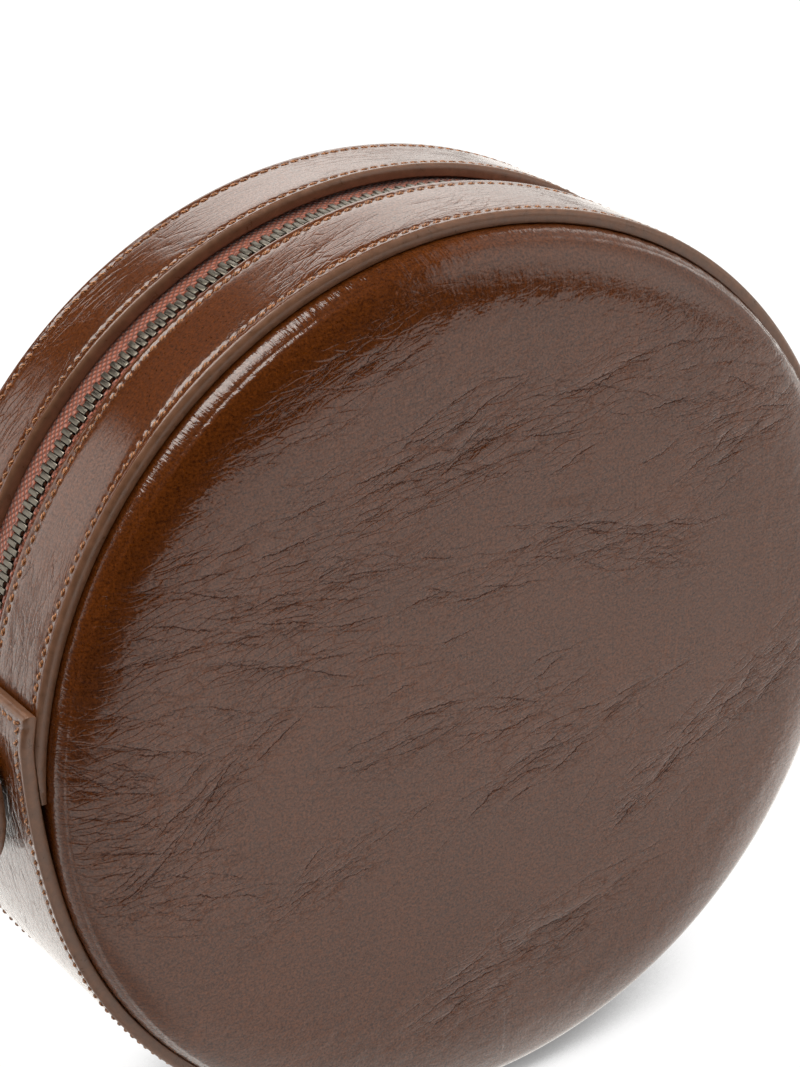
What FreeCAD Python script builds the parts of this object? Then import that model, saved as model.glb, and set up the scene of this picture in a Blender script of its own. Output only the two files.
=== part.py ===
"""Round leather bag with a zip over the top and a strap that swings on two side studs.

Millimetres. The drum's axis runs along Y and the front faces -Y. The origin lies on the
floor under the middle of the drum, and the strap lies behind the bag with its arch on the floor.
Angles round the drum are counted from +X towards +Z.
"""
import FreeCAD
import Part
import Sketcher
import enum
import math
import os

from FreeCAD import Placement, Rotation, Vector

# Driving sizes in millimetres and degrees
SIZES = {
    # Round wall
    "bag_radius": 95.0,
    "gusset_width": 51.0,
    "wall_leather": 2.6,
    "layer_gap": 0.1,
    "zip_window": 11.0,
    "gusset_end_angle": 10.2,
    "base_flat_depth": 1.2,
    # Lapped ends of the base gusset
    "lap_top_angle": 13.5,
    "lap_gap": 0.15,
    "taper_top_angle": 9.6,
    "taper_foot_angle": 12.0,
    # Padded panels
    "panel_leather": 1.4,
    "panel_flange": 8.0,
    "panel_setback": 0.3,
    "panel_roll_radius": 8.0,
    "panel_shoulder_radius": 32.0,
    "panel_rise": 9.3,
    "board_recess": 0.5,
    "board_thickness": 1.2,
    "board_clearance": 0.5,
    "lining_thickness": 0.5,
    # Base board and zip facings
    "base_board_angle": 200.0,
    "base_board_gap": 1.0,
    "base_lining_angle": 6.6,
    "facing_edge": 9.0,
    # Zip
    "tape_thickness": 0.7,
    "tape_width": 13.0,
    "tape_gap": 2.6,
    "tooth_pitch": 2.5,
    "tooth_thickness": 1.15,
    "tooth_height": 3.1,
    "tooth_leg": 3.0,
    "tooth_clearance": 0.1,
    "chain_start_angle": 25.0,
    "chain_end_angle": 161.0,
    "stop_length": 3.0,
    "stop_spacing": 0.3,
    # Zip slider and pull
    "slider_tail": 6.5,
    "slider_nose": 5.5,
    "slider_plate": 1.1,
    "slider_flange": 1.0,
    "slider_clearance": 0.3,
    "slider_corner": 0.8,
    "slider_lead": 0.6,
    "divider_width": 1.5,
    "divider_start": 1.5,
    "divider_length": 3.0,
    "crown_width": 2.4,
    "crown_bar": 1.0,
    "crown_height": 2.0,
    "crown_opening": 4.4,
    "crown_front": 1.8,
    "pull_bar_radius": 0.7,
    "pull_bar_place": 0.6,
    "pull_bar_lift": 0.2,
    "pull_eye": 5.0,
    "pull_length": 16.5,
    "pull_width": 7.0,
    "pull_arm": 1.7,
    "pull_hole_radius": 1.6,
    # Strap and its studs
    "strap_width": 35.0,
    "strap_layer": 1.4,
    "strap_straight": 26.0,
    "strap_flare_radius": 150.0,
    "strap_flare_angle": 5.0,
    "strap_leg": 80.0,
    "strap_floor_gap": 0.3,
    "strap_side_gap": 0.1,
    "stud_radius": 2.5,
    "stud_fit": 0.08,
    "stud_flange_radius": 5.0,
    "stud_flange": 1.2,
    "stud_lining_gap": 0.2,
    "stud_bore_radius": 1.5,
    "stud_thread_gap": 0.04,
    "backplate_radius": 6.0,
    "backplate_thickness": 1.0,
    "spacer_radius": 5.5,
    "spacer_thickness": 0.7,
    "cap_radius": 5.5,
    "cap_thickness": 1.8,
    "cap_slot": 1.0,
    "cap_slot_depth": 0.8,
}

# Sizes worked out from the driving ones, in the order in which they depend on each other
WORKED = {
    "middle_height": "Sizes.bag_radius - Sizes.base_flat_depth",
    "half_width": "Sizes.gusset_width / 2",
    "window_edge": "Sizes.zip_window / 2",
    "strip_width": "Worked.half_width - Worked.window_edge",
    "far_end_angle": "180 - Sizes.gusset_end_angle",
    "wall_inner": "Sizes.bag_radius - Sizes.wall_leather",
    "lap_inner": "Sizes.bag_radius + Sizes.lap_gap",
    "lap_outer": "Worked.lap_inner + Sizes.wall_leather",
    "lap_far_angle": "180 - Sizes.lap_top_angle",
    "lap_inner_rise": "Worked.lap_inner * sin(Sizes.taper_top_angle * 1 deg)",
    "lap_outer_rise": "Worked.lap_outer * sin(Sizes.taper_top_angle * 1 deg)",
    "wall_inner_drop": "Worked.wall_inner * sin(Sizes.taper_foot_angle * 1 deg)",
    "wall_outer_drop": "Sizes.bag_radius * sin(Sizes.taper_foot_angle * 1 deg)",
    "taper_span": "Sizes.taper_top_angle + Sizes.taper_foot_angle",
    "taper_outer_shift": "(Worked.lap_outer^2 - Sizes.bag_radius^2)"
                         " / (2 * (Sizes.bag_radius - Worked.lap_outer * cos(Worked.taper_span * 1 deg)))",
    "taper_inner_shift": "(Worked.lap_inner^2 - Worked.wall_inner^2)"
                         " / (2 * (Worked.wall_inner - Worked.lap_inner * cos(Worked.taper_span * 1 deg)))",
    "flange_outer": "Worked.wall_inner - Sizes.layer_gap",
    "flange_inner": "Worked.flange_outer - Sizes.panel_leather",
    "facing_outer": "Worked.flange_inner - Sizes.layer_gap",
    "facing_inner": "Worked.facing_outer - Sizes.lining_thickness",
    "roll_height": "Worked.half_width - Sizes.panel_setback",
    "flange_end": "Worked.roll_height - Sizes.panel_flange",
    "crest": "Worked.half_width + Sizes.panel_rise",
    "roll_centre": "Worked.flange_outer - Sizes.panel_roll_radius",
    "shoulder_height": "Worked.crest - Sizes.panel_shoulder_radius",
    "shoulder_centre": "Worked.roll_centre - sqrt((Sizes.panel_shoulder_radius"
                       " - Sizes.panel_roll_radius)^2"
                       " - (Worked.roll_height - Worked.shoulder_height)^2)",
    "foam_roll_radius": "Sizes.panel_roll_radius - Sizes.panel_leather - Sizes.layer_gap",
    "foam_shoulder_radius": "Sizes.panel_shoulder_radius - Sizes.panel_leather - Sizes.layer_gap",
    "foam_crest": "Worked.crest - Sizes.panel_leather - Sizes.layer_gap",
    "board_face": "Worked.half_width - Sizes.board_recess",
    "board_back": "Worked.board_face - Sizes.board_thickness",
    "lining_back": "Worked.board_back - Sizes.lining_thickness",
    "board_radius": "Worked.flange_inner - Sizes.board_clearance",
    "facing_end": "Worked.lining_back - Sizes.layer_gap",
    "facing_width": "Worked.facing_end - Sizes.facing_edge",
    "base_lining_width": "2 * Worked.facing_end",
    "base_board_end": "540 - Sizes.base_board_angle",
    "base_board_half": "Worked.flange_end - Sizes.base_board_gap",
    "base_board_width": "2 * Worked.base_board_half",
    "base_lining_start": "180 - Sizes.base_lining_angle",
    "base_lining_end": "360 + Sizes.base_lining_angle",
    "tape_inner": "Worked.flange_outer - Sizes.tape_thickness",
    "tape_middle": "Worked.flange_outer - Sizes.tape_thickness / 2",
    "tape_edge": "Sizes.tape_gap / 2",
    "tooth_top": "Worked.tape_middle + Sizes.tooth_height / 2",
    "tooth_bottom": "Worked.tape_middle - Sizes.tooth_height / 2",
    "slot_top": "Worked.flange_outer + Sizes.tooth_clearance",
    "slot_bottom": "Worked.tape_inner - Sizes.tooth_clearance",
    "slot_root": "Worked.tape_edge - Sizes.tooth_clearance",
    "stop_face": "Sizes.divider_width / 2 + Sizes.tooth_clearance",
    "tooth_step": "Sizes.tooth_pitch / Worked.tape_middle * 180 / pi",
    "tooth_count": "floor((Sizes.chain_end_angle - Sizes.chain_start_angle) / Worked.tooth_step) + 1",
    "chain_sweep": "(Worked.tooth_count - 1) * Worked.tooth_step",
    "chain_turn": "90 - Sizes.chain_start_angle",
    "chain_turn_back": "Worked.chain_turn - Worked.tooth_step / 2",
    "stop_reach": "(Sizes.tooth_thickness + Sizes.stop_length) / 2 + Sizes.stop_spacing",
    "top_stop_turn": "Worked.chain_turn + Worked.stop_reach / Worked.tape_middle * 180 / pi",
    "bottom_stop_turn": "Worked.chain_turn_back - Worked.chain_sweep"
                        " - Worked.stop_reach / Worked.tape_middle * 180 / pi",
    "slider_turn": "Worked.chain_turn - Sizes.slider_lead / Worked.tape_middle * 180 / pi",
    "slider_length": "Sizes.slider_tail + Sizes.slider_nose",
    "slider_inner_half": "Sizes.tooth_leg + Sizes.slider_clearance",
    "slider_half": "Worked.slider_inner_half + Sizes.slider_flange",
    "slider_roof": "Worked.tooth_top + Sizes.slider_clearance",
    "slider_top": "Worked.slider_roof + Sizes.slider_plate",
    "slider_lip": "Worked.flange_outer + Sizes.slider_clearance",
    "slider_under_floor": "sqrt(Worked.tooth_bottom^2 - Sizes.slider_tail^2) - Sizes.slider_clearance / 2",
    "slider_bottom": "Worked.slider_under_floor - Sizes.slider_plate",
    "slider_under_lip": "sqrt(Worked.tape_inner^2 - Sizes.slider_tail^2) - Sizes.slider_clearance / 2",
    "divider_tall": "Worked.slider_roof - Worked.slider_under_floor",
    "crown_back": "Sizes.crown_front - Sizes.crown_opening",
    "crown_top": "Worked.slider_top + Sizes.crown_height + Sizes.crown_bar",
    "pull_axis_height": "Worked.slider_top + Sizes.pull_bar_lift + Sizes.pull_bar_radius",
    "pull_inner_half": "Sizes.pull_width / 2 - Sizes.pull_arm",
    "pull_hole_place": "Sizes.pull_length - Sizes.pull_width / 2",
    "strap_half": "Sizes.strap_width / 2",
    "spacer_lean": "asin(Sizes.spacer_radius / Sizes.bag_radius) / 1 deg",
    "spacer_span": "Sizes.taper_foot_angle + Worked.spacer_lean",
    "spacer_wall": "(sqrt((Sizes.bag_radius + Worked.taper_outer_shift)^2"
                   " - (Worked.taper_outer_shift * sin(Worked.spacer_span * 1 deg))^2)"
                   " - Worked.taper_outer_shift * cos(Worked.spacer_span * 1 deg))"
                   " * cos(Worked.spacer_lean * 1 deg)",
    "spacer_start": "Worked.spacer_wall + Sizes.layer_gap",
    "strap_inner": "Worked.spacer_start + Sizes.spacer_thickness + Sizes.strap_side_gap",
    "strap_middle": "Worked.strap_inner + Sizes.strap_layer",
    "strap_outer": "Worked.strap_inner + 2 * Sizes.strap_layer",
    "flare_centre": "Worked.strap_inner + Sizes.strap_flare_radius",
    "flare_end_x": "Worked.flare_centre - Sizes.strap_flare_radius * cos(Sizes.strap_flare_angle * 1 deg)",
    "flare_end_z": "Sizes.strap_straight + Sizes.strap_flare_radius * sin(Sizes.strap_flare_angle * 1 deg)",
    "leg_end_x": "Worked.flare_end_x + Sizes.strap_leg * sin(Sizes.strap_flare_angle * 1 deg)",
    "leg_end_z": "Worked.flare_end_z + Sizes.strap_leg * cos(Sizes.strap_flare_angle * 1 deg)",
    "arch_radius": "Worked.leg_end_x / cos(Sizes.strap_flare_angle * 1 deg)",
    "arch_centre": "Worked.leg_end_z + Worked.leg_end_x * tan(Sizes.strap_flare_angle * 1 deg)",
    "strap_reach": "Worked.arch_centre + Worked.arch_radius + 2 * Sizes.strap_layer",
    "strap_corner": "sqrt(Worked.strap_reach^2 + Worked.strap_half^2)",
    "strap_drop": "Worked.middle_height - Sizes.strap_floor_gap",
    "strap_turn": "-90 - (asin(Worked.strap_drop / Worked.strap_corner)"
                  " - atan(Worked.strap_half / Worked.strap_reach)) / 1 deg",
    "stud_hole_radius": "Sizes.stud_radius + Sizes.stud_fit",
    "stud_end": "Worked.strap_outer + Sizes.strap_side_gap",
    "stud_flange_face": "Worked.facing_inner - Sizes.stud_lining_gap",
    "stud_start": "Worked.stud_flange_face - Sizes.stud_flange",
    "stud_length": "Worked.stud_end - Worked.stud_start",
    "screw_radius": "Sizes.stud_bore_radius - Sizes.stud_thread_gap",
    "screw_start": "Worked.stud_flange_face + Sizes.layer_gap",
    "screw_length": "Worked.stud_end - Worked.screw_start",
    "backplate_lean": "asin(Sizes.backplate_radius / Worked.wall_inner) / 1 deg",
    "backplate_span": "Sizes.taper_foot_angle - Worked.backplate_lean",
    "backplate_wall": "(sqrt((Worked.wall_inner + Worked.taper_inner_shift)^2"
                      " - (Worked.taper_inner_shift * sin(Worked.backplate_span * 1 deg))^2)"
                      " - Worked.taper_inner_shift * cos(Worked.backplate_span * 1 deg))"
                      " * cos(Worked.backplate_lean * 1 deg)",
    "backplate_face": "Worked.backplate_wall - Sizes.layer_gap",
    "backplate_start": "Worked.backplate_face - Sizes.backplate_thickness",
    "slot_start": "Worked.stud_end + Sizes.cap_thickness - Sizes.cap_slot_depth",
    "slot_length": "2 * Sizes.cap_radius",
}


class Point(enum.IntEnum):
    """Points of a sketch element, in the sketcher's own count."""

    START = enum.auto()
    END = enum.auto()
    CENTRE = enum.auto()


START, END, CENTRE = Point
UP = Vector(0, 0, 1)
ORIGIN = (-1, START)
SAME_PLACE = 0.01

doc = FreeCAD.newDocument("round_bag")
sizes = doc.addObject("Spreadsheet::Sheet", "Sizes")
for row, (alias, number) in enumerate(SIZES.items(), start=1):
    sizes.set(f"A{row}", alias)
    sizes.set(f"B{row}", str(number))
    sizes.setAlias(f"B{row}", alias)
doc.recompute()

worked = doc.addObject("App::VarSet", "Worked")
for name, formula in WORKED.items():
    worked.addProperty("App::PropertyFloat", name, "Worked")
    worked.setExpression(name, formula)
doc.recompute()

nodes = []


def value(name):
    """Number behind a driving or worked-out size."""
    return float(SIZES[name]) if name in SIZES else float(getattr(worked, name))


def ref(name):
    """The same size as a term of an expression."""
    return f"Sizes.{name}" if name in SIZES else f"Worked.{name}"


def node(piece):
    """Keeps a finished piece for writing."""
    nodes.append(piece)
    return piece


def new_body(name, turn=None, turn_axis=Vector(0, 1, 0)):
    """Body centred on the drum's middle, turned about an axis through it."""
    body = doc.addObject("PartDesign::Body", name)
    body.Placement = Placement(Vector(), Rotation(turn_axis, 1 if turn else 0))
    body.setExpression("Placement.Base.z", ref("middle_height"))
    if turn:
        body.setExpression("Placement.Rotation.Angle", f"{ref(turn)} * 1 deg")
    return body


def new_sketch(body, name, plane, offset=None):
    """Sketch on one of the body's own planes, moved along its normal."""
    sketch = body.newObject("Sketcher::SketchObject", name)
    planes = {feature.Role: feature for feature in body.Origin.OriginFeatures}
    sketch.AttachmentSupport = [(planes[plane], "")]
    sketch.MapMode = "FlatFace"
    if offset:
        sketch.setExpression("AttachmentOffset.Base.z", offset)
    return sketch


def line(sketch, start, end):
    return sketch.addGeometry(Part.LineSegment(Vector(*start, 0), Vector(*end, 0)))


def arc(sketch, centre, radius, first, last):
    """Arc that runs anticlockwise between two angles in degrees."""
    circle = Part.Circle(Vector(*centre, 0), UP, radius)
    return sketch.addGeometry(Part.ArcOfCircle(circle, math.radians(first), math.radians(last)))


def tie(sketch, kind, *elements):
    """Geometric constraint between elements of the sketch."""
    sketch.addConstraint(Sketcher.Constraint(kind, *elements))


def measure(sketch, kind, name, *elements):
    """Dimension of the sketch, driven by a named size."""
    number = value(name)
    term = ref(name)
    if kind == "Angle":
        number = math.radians(number)
        term = f"{term} * 1 deg"
    index = sketch.addConstraint(Sketcher.Constraint(kind, *elements, number))
    label = f"{name}_{index}"
    sketch.renameConstraint(index, label)
    sketch.setExpression(f"Constraints.{label}", term)


def pad(body, name, sketch, length, both_ways=False):
    feature = body.newObject("PartDesign::Pad", name)
    feature.Profile = sketch
    feature.setExpression("Length", ref(length))
    feature.Midplane = both_ways
    return feature


def cut_through(body, name, sketch):
    """Cut both ways through everything."""
    feature = body.newObject("PartDesign::Pocket", name)
    feature.Profile = sketch
    feature.Type = "ThroughAll"
    feature.Midplane = True
    return feature


def revolve(body, name, sketch, axis):
    feature = body.newObject("PartDesign::Revolution", name)
    feature.Profile = sketch
    feature.ReferenceAxis = (sketch, [axis])
    feature.Angle = 360
    return feature


def polar(radius, angle):
    """Point of a sketch at a radius and an angle in degrees."""
    return radius * math.cos(math.radians(angle)), radius * math.sin(math.radians(angle))


def polygon(sketch, corners):
    """Closed outline whose corners are pairs of signed size names, as offsets from the origin.

    A corner given as ("+a", "-b") lies at (a, -b), and "0" lies on the axis.
    """
    def number(term):
        return 0.0 if term == "0" else float(f"{term[0]}1") * value(term[1:])

    points = [(number(across), number(along)) for across, along in corners]
    edges = [line(sketch, points[i], points[(i + 1) % len(points)]) for i in range(len(points))]
    for i, edge in enumerate(edges):
        tie(sketch, "Coincident", edge, END, edges[(i + 1) % len(edges)], START)
    for edge, corner in zip(edges, corners):
        for kind, axis, term in (("DistanceX", -2, corner[0]), ("DistanceY", -1, corner[1])):
            if term == "0":
                tie(sketch, "PointOnObject", edge, START, axis)
            elif term[0] == "+":
                measure(sketch, kind, term[1:], *ORIGIN, edge, START)
            else:
                measure(sketch, kind, term[1:], edge, START, *ORIGIN)
    return edges


def hole(sketch, radius):
    """Circle of a named radius about the origin."""
    index = sketch.addGeometry(Part.Circle(Vector(), UP, value(radius)))
    tie(sketch, "Coincident", index, CENTRE, *ORIGIN)
    measure(sketch, "Radius", radius, index)


def mirror(piece, name, normal):
    """The same piece on the other side of the bag's middle."""
    twin = doc.addObject("Part::Mirroring", name)
    twin.Source = piece
    twin.Normal = normal
    return node(twin)


def cylinder(name, radius, start, length, axis):
    """Cylinder along +X, or towards the front along -Y, from a named place on its axis."""
    solid = doc.addObject("Part::Cylinder", name)
    turn = Rotation(Vector(0, 1, 0), 90) if axis == "x" else Rotation(Vector(1, 0, 0), 90)
    solid.Placement = Placement(Vector(), turn)
    solid.setExpression("Radius", ref(radius))
    solid.setExpression("Height", ref(length))
    solid.setExpression(f"Placement.Base.{axis}", ref(start) if axis == "x" else f"-{ref(start)}")
    solid.setExpression("Placement.Base.z", ref("middle_height"))
    return solid


def combine(kind, name, base, tool):
    """Union or difference of two solids."""
    result = doc.addObject(kind, name)
    result.Base = base
    result.Tool = tool
    return result


def band(name, outer, inner, first, last, start, width):
    """Strip of the round wall between two angles, running to the front from a signed offset."""
    body = new_body(name)
    sketch = new_sketch(body, f"{name}_profile", "XZ_Plane", start)
    low, high = value(first), value(last)
    outside = arc(sketch, (0, 0), value(outer), low, high)
    inside = arc(sketch, (0, 0), value(inner), low, high)
    tie(sketch, "Coincident", outside, CENTRE, *ORIGIN)
    tie(sketch, "Coincident", inside, CENTRE, *ORIGIN)
    measure(sketch, "Radius", outer, outside)
    measure(sketch, "Radius", inner, inside)
    for end, angle in ((START, first), (END, last)):
        edge = line(sketch, polar(value(inner), value(angle)), polar(value(outer), value(angle)))
        tie(sketch, "Coincident", inside, end, edge, START)
        tie(sketch, "Coincident", outside, end, edge, END)
        tie(sketch, "PointOnObject", *ORIGIN, edge)
        measure(sketch, "Angle", angle, edge)
    pad(body, f"{name}_pad", sketch, width)
    return node(body)


def front_panel():
    """Leather disc with a flat middle, a padded shoulder, and a turned-in flange for the seam."""
    body = new_body("front_panel")
    sketch = new_sketch(body, "front_panel_profile", "XY_Plane")
    leather = value("panel_leather")
    shoulder = (value("shoulder_centre"), -value("shoulder_height"))
    roll = (value("roll_centre"), -value("roll_height"))
    bend = math.degrees(math.atan2(roll[1] - shoulder[1], roll[0] - shoulder[0]))
    crest, edge, end = value("crest"), value("flange_outer"), -value("flange_end")

    top = line(sketch, (0, -crest), (shoulder[0], -crest))
    outer_shoulder = arc(sketch, shoulder, value("panel_shoulder_radius"), -90, bend)
    outer_roll = arc(sketch, roll, value("panel_roll_radius"), bend, 0)
    outer_flange = line(sketch, (edge, roll[1]), (edge, end))
    hem = line(sketch, (edge, end), (edge - leather, end))
    inner_flange = line(sketch, (edge - leather, end), (edge - leather, roll[1]))
    inner_roll = arc(sketch, roll, value("panel_roll_radius") - leather, bend, 0)
    inner_shoulder = arc(sketch, shoulder, value("panel_shoulder_radius") - leather, -90, bend)
    under = line(sketch, (shoulder[0], leather - crest), (0, leather - crest))
    middle = line(sketch, (0, leather - crest), (0, -crest))

    tie(sketch, "Tangent", top, END, outer_shoulder, START)
    tie(sketch, "Tangent", outer_shoulder, END, outer_roll, START)
    tie(sketch, "Tangent", outer_roll, END, outer_flange, START)
    tie(sketch, "Coincident", outer_flange, END, hem, START)
    tie(sketch, "Coincident", hem, END, inner_flange, START)
    tie(sketch, "Tangent", inner_flange, END, inner_roll, END)
    tie(sketch, "Tangent", inner_roll, START, inner_shoulder, END)
    tie(sketch, "Tangent", inner_shoulder, START, under, START)
    tie(sketch, "Coincident", under, END, middle, START)
    tie(sketch, "Coincident", middle, END, top, START)
    tie(sketch, "Coincident", outer_roll, CENTRE, inner_roll, CENTRE)
    tie(sketch, "Coincident", outer_shoulder, CENTRE, inner_shoulder, CENTRE)
    for flat in (top, hem, under):
        tie(sketch, "Horizontal", flat)
    for upright in (outer_flange, inner_flange, middle):
        tie(sketch, "Vertical", upright)
    tie(sketch, "PointOnObject", middle, START, -2)
    measure(sketch, "DistanceX", "flange_outer", *ORIGIN, outer_flange, START)
    measure(sketch, "DistanceX", "panel_leather", hem, END, hem, START)
    measure(sketch, "Radius", "panel_roll_radius", outer_roll)
    measure(sketch, "Radius", "panel_shoulder_radius", outer_shoulder)
    measure(sketch, "DistanceY", "roll_height", outer_roll, CENTRE, *ORIGIN)
    measure(sketch, "DistanceY", "flange_end", hem, START, *ORIGIN)
    measure(sketch, "DistanceY", "crest", top, START, *ORIGIN)
    revolve(body, "front_panel_turn", sketch, "V_Axis")
    return node(body)


def front_foam():
    """Padding that fills the panel from its board to the leather."""
    body = new_body("front_foam")
    sketch = new_sketch(body, "front_foam_profile", "XY_Plane")
    shoulder = (value("shoulder_centre"), -value("shoulder_height"))
    roll = (value("roll_centre"), -value("roll_height"))
    bend = math.degrees(math.atan2(roll[1] - shoulder[1], roll[0] - shoulder[0]))
    crest, back = -value("foam_crest"), -value("board_face")
    foot = math.degrees(math.asin((back - roll[1]) / value("foam_roll_radius")))
    rim = roll[0] + value("foam_roll_radius") * math.cos(math.radians(foot))

    top = line(sketch, (0, crest), (shoulder[0], crest))
    outer_shoulder = arc(sketch, shoulder, value("foam_shoulder_radius"), -90, bend)
    outer_roll = arc(sketch, roll, value("foam_roll_radius"), bend, foot)
    under = line(sketch, (rim, back), (0, back))
    middle = line(sketch, (0, back), (0, crest))

    tie(sketch, "Tangent", top, END, outer_shoulder, START)
    tie(sketch, "Tangent", outer_shoulder, END, outer_roll, START)
    tie(sketch, "Coincident", outer_roll, END, under, START)
    tie(sketch, "Coincident", under, END, middle, START)
    tie(sketch, "Coincident", middle, END, top, START)
    tie(sketch, "Horizontal", top)
    tie(sketch, "Horizontal", under)
    tie(sketch, "Vertical", middle)
    tie(sketch, "PointOnObject", middle, START, -2)
    measure(sketch, "DistanceX", "roll_centre", *ORIGIN, outer_roll, CENTRE)
    measure(sketch, "DistanceY", "roll_height", outer_roll, CENTRE, *ORIGIN)
    measure(sketch, "Radius", "foam_roll_radius", outer_roll)
    measure(sketch, "Radius", "foam_shoulder_radius", outer_shoulder)
    measure(sketch, "DistanceY", "foam_crest", top, START, *ORIGIN)
    measure(sketch, "DistanceY", "board_face", under, START, *ORIGIN)
    revolve(body, "front_foam_turn", sketch, "V_Axis")
    return node(body)


def base_gusset():
    """Lower part of the round wall: widens at both ends to lap over the zip gussets.

    The underside is pressed flat where the bag stands.
    """
    body = new_body("base_gusset")
    sketch = new_sketch(body, "base_gusset_profile", "XZ_Plane", f"-{ref('half_width')}")
    lap_top = value("lap_top_angle")
    top, foot = value("taper_top_angle"), value("taper_foot_angle")
    wall, wall_in = value("bag_radius"), value("wall_inner")
    lap, lap_in = value("lap_outer"), value("lap_inner")
    flat_height = value("middle_height")
    flat_angle = math.degrees(math.acos(flat_height / wall))

    right_wall = arc(sketch, (0, 0), wall, 270 + flat_angle, 360 - foot)
    left_wall = arc(sketch, (0, 0), wall, 180 + foot, 270 - flat_angle)
    inner_wall = arc(sketch, (0, 0), wall_in, 180 + foot, 360 - foot)
    flat = line(sketch, polar(wall, 270 - flat_angle), polar(wall, 270 + flat_angle))
    tie(sketch, "Coincident", left_wall, END, flat, START)
    tie(sketch, "Coincident", flat, END, right_wall, START)
    tie(sketch, "Horizontal", flat)
    for round_part, radius in (
        (right_wall, "bag_radius"),
        (left_wall, "bag_radius"),
        (inner_wall, "wall_inner"),
    ):
        tie(sketch, "Coincident", round_part, CENTRE, *ORIGIN)
        measure(sketch, "Radius", radius, round_part)
    measure(sketch, "DistanceY", "middle_height", flat, START, *ORIGIN)

    def taper(radius, shift, lap_radius, mirrored):
        """Arc that leaves the wall at the taper's foot and meets the lap at its top."""
        centre = polar(shift, 180 - foot)
        meet = polar(lap_radius, top)
        rise = math.degrees(math.atan2(meet[1] - centre[1], meet[0] - centre[0]))
        if mirrored:
            return arc(sketch, (-centre[0], centre[1]), radius + shift, 180 - rise, 180 + foot)
        return arc(sketch, centre, radius + shift, -foot, rise)

    # Each side in turn: the lap's two arcs, the two tapers and the cut end
    for side, outer_wall, low_end, high_end, top_angle in (
        ("right", right_wall, END, START, "lap_top_angle"),
        ("left", left_wall, START, END, "lap_far_angle"),
    ):
        mirrored = side == "left"
        low, high = (180 - lap_top, 180 - top) if mirrored else (top, lap_top)
        lap_outside = arc(sketch, (0, 0), lap, low, high)
        lap_inside = arc(sketch, (0, 0), lap_in, low, high)
        outer_taper = taper(wall, value("taper_outer_shift"), lap, mirrored)
        inner_taper = taper(wall_in, value("taper_inner_shift"), lap_in, mirrored)
        cut_angle = high if not mirrored else low
        cut_end = line(sketch, polar(lap_in, cut_angle), polar(lap, cut_angle))
        for lap_arc, radius in ((lap_outside, "lap_outer"), (lap_inside, "lap_inner")):
            tie(sketch, "Coincident", lap_arc, CENTRE, *ORIGIN)
            measure(sketch, "Radius", radius, lap_arc)
        tie(sketch, "Tangent", outer_wall, low_end, outer_taper, high_end)
        tie(sketch, "Tangent", inner_wall, low_end, inner_taper, high_end)
        tie(sketch, "Coincident", outer_taper, low_end, lap_outside, high_end)
        tie(sketch, "Coincident", inner_taper, low_end, lap_inside, high_end)
        tie(sketch, "Coincident", lap_inside, low_end, cut_end, START)
        tie(sketch, "Coincident", lap_outside, low_end, cut_end, END)
        tie(sketch, "PointOnObject", *ORIGIN, cut_end)
        measure(sketch, "Angle", top_angle, cut_end)
        measure(sketch, "DistanceY", "wall_outer_drop", outer_wall, low_end, *ORIGIN)
        measure(sketch, "DistanceY", "wall_inner_drop", inner_wall, low_end, *ORIGIN)
        measure(sketch, "DistanceY", "lap_outer_rise", *ORIGIN, lap_outside, high_end)
        measure(sketch, "DistanceY", "lap_inner_rise", *ORIGIN, lap_inside, high_end)
    pad(body, "base_gusset_pad", sketch, "gusset_width")

    stud_holes = new_sketch(body, "base_gusset_stud_holes", "YZ_Plane")
    hole(stud_holes, "stud_hole_radius")
    cut_through(body, "base_gusset_studs", stud_holes)
    return node(body)


def base_lining():
    """Lining inside the base gusset, pierced for the two studs."""
    body = band("base_lining", "facing_outer", "facing_inner", "base_lining_start",
                "base_lining_end", f"-{ref('facing_end')}", "base_lining_width")
    stud_holes = new_sketch(body, "base_lining_stud_holes", "YZ_Plane")
    hole(stud_holes, "stud_hole_radius")
    cut_through(body, "base_lining_studs", stud_holes)


def zip_teeth(name, side, turn):
    """One row of teeth, each clamped over the edge of its tape and reaching past the middle."""
    body = new_body(name, turn)
    sketch = new_sketch(body, f"{name}_profile", "YZ_Plane")
    own, other = ("-", "+") if side == "front" else ("+", "-")
    polygon(sketch, [
        (f"{other}slot_root", "+tooth_top"),
        (f"{own}tooth_leg", "+tooth_top"),
        (f"{own}tooth_leg", "+slot_top"),
        (f"{own}slot_root", "+slot_top"),
        (f"{own}slot_root", "+slot_bottom"),
        (f"{own}tooth_leg", "+slot_bottom"),
        (f"{own}tooth_leg", "+tooth_bottom"),
        (f"{other}slot_root", "+tooth_bottom"),
    ])
    tooth = pad(body, f"{name}_tooth", sketch, "tooth_thickness", both_ways=True)
    row = body.newObject("PartDesign::PolarPattern", f"{name}_row")
    row.Originals = [tooth]
    axes = {feature.Role: feature for feature in body.Origin.OriginFeatures}
    row.Axis = (axes["Y_Axis"], [""])
    row.Reversed = True
    row.setExpression("Angle", f"{ref('chain_sweep')} * 1 deg")
    row.setExpression("Occurrences", ref("tooth_count"))
    body.Tip = row
    return node(body)


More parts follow.
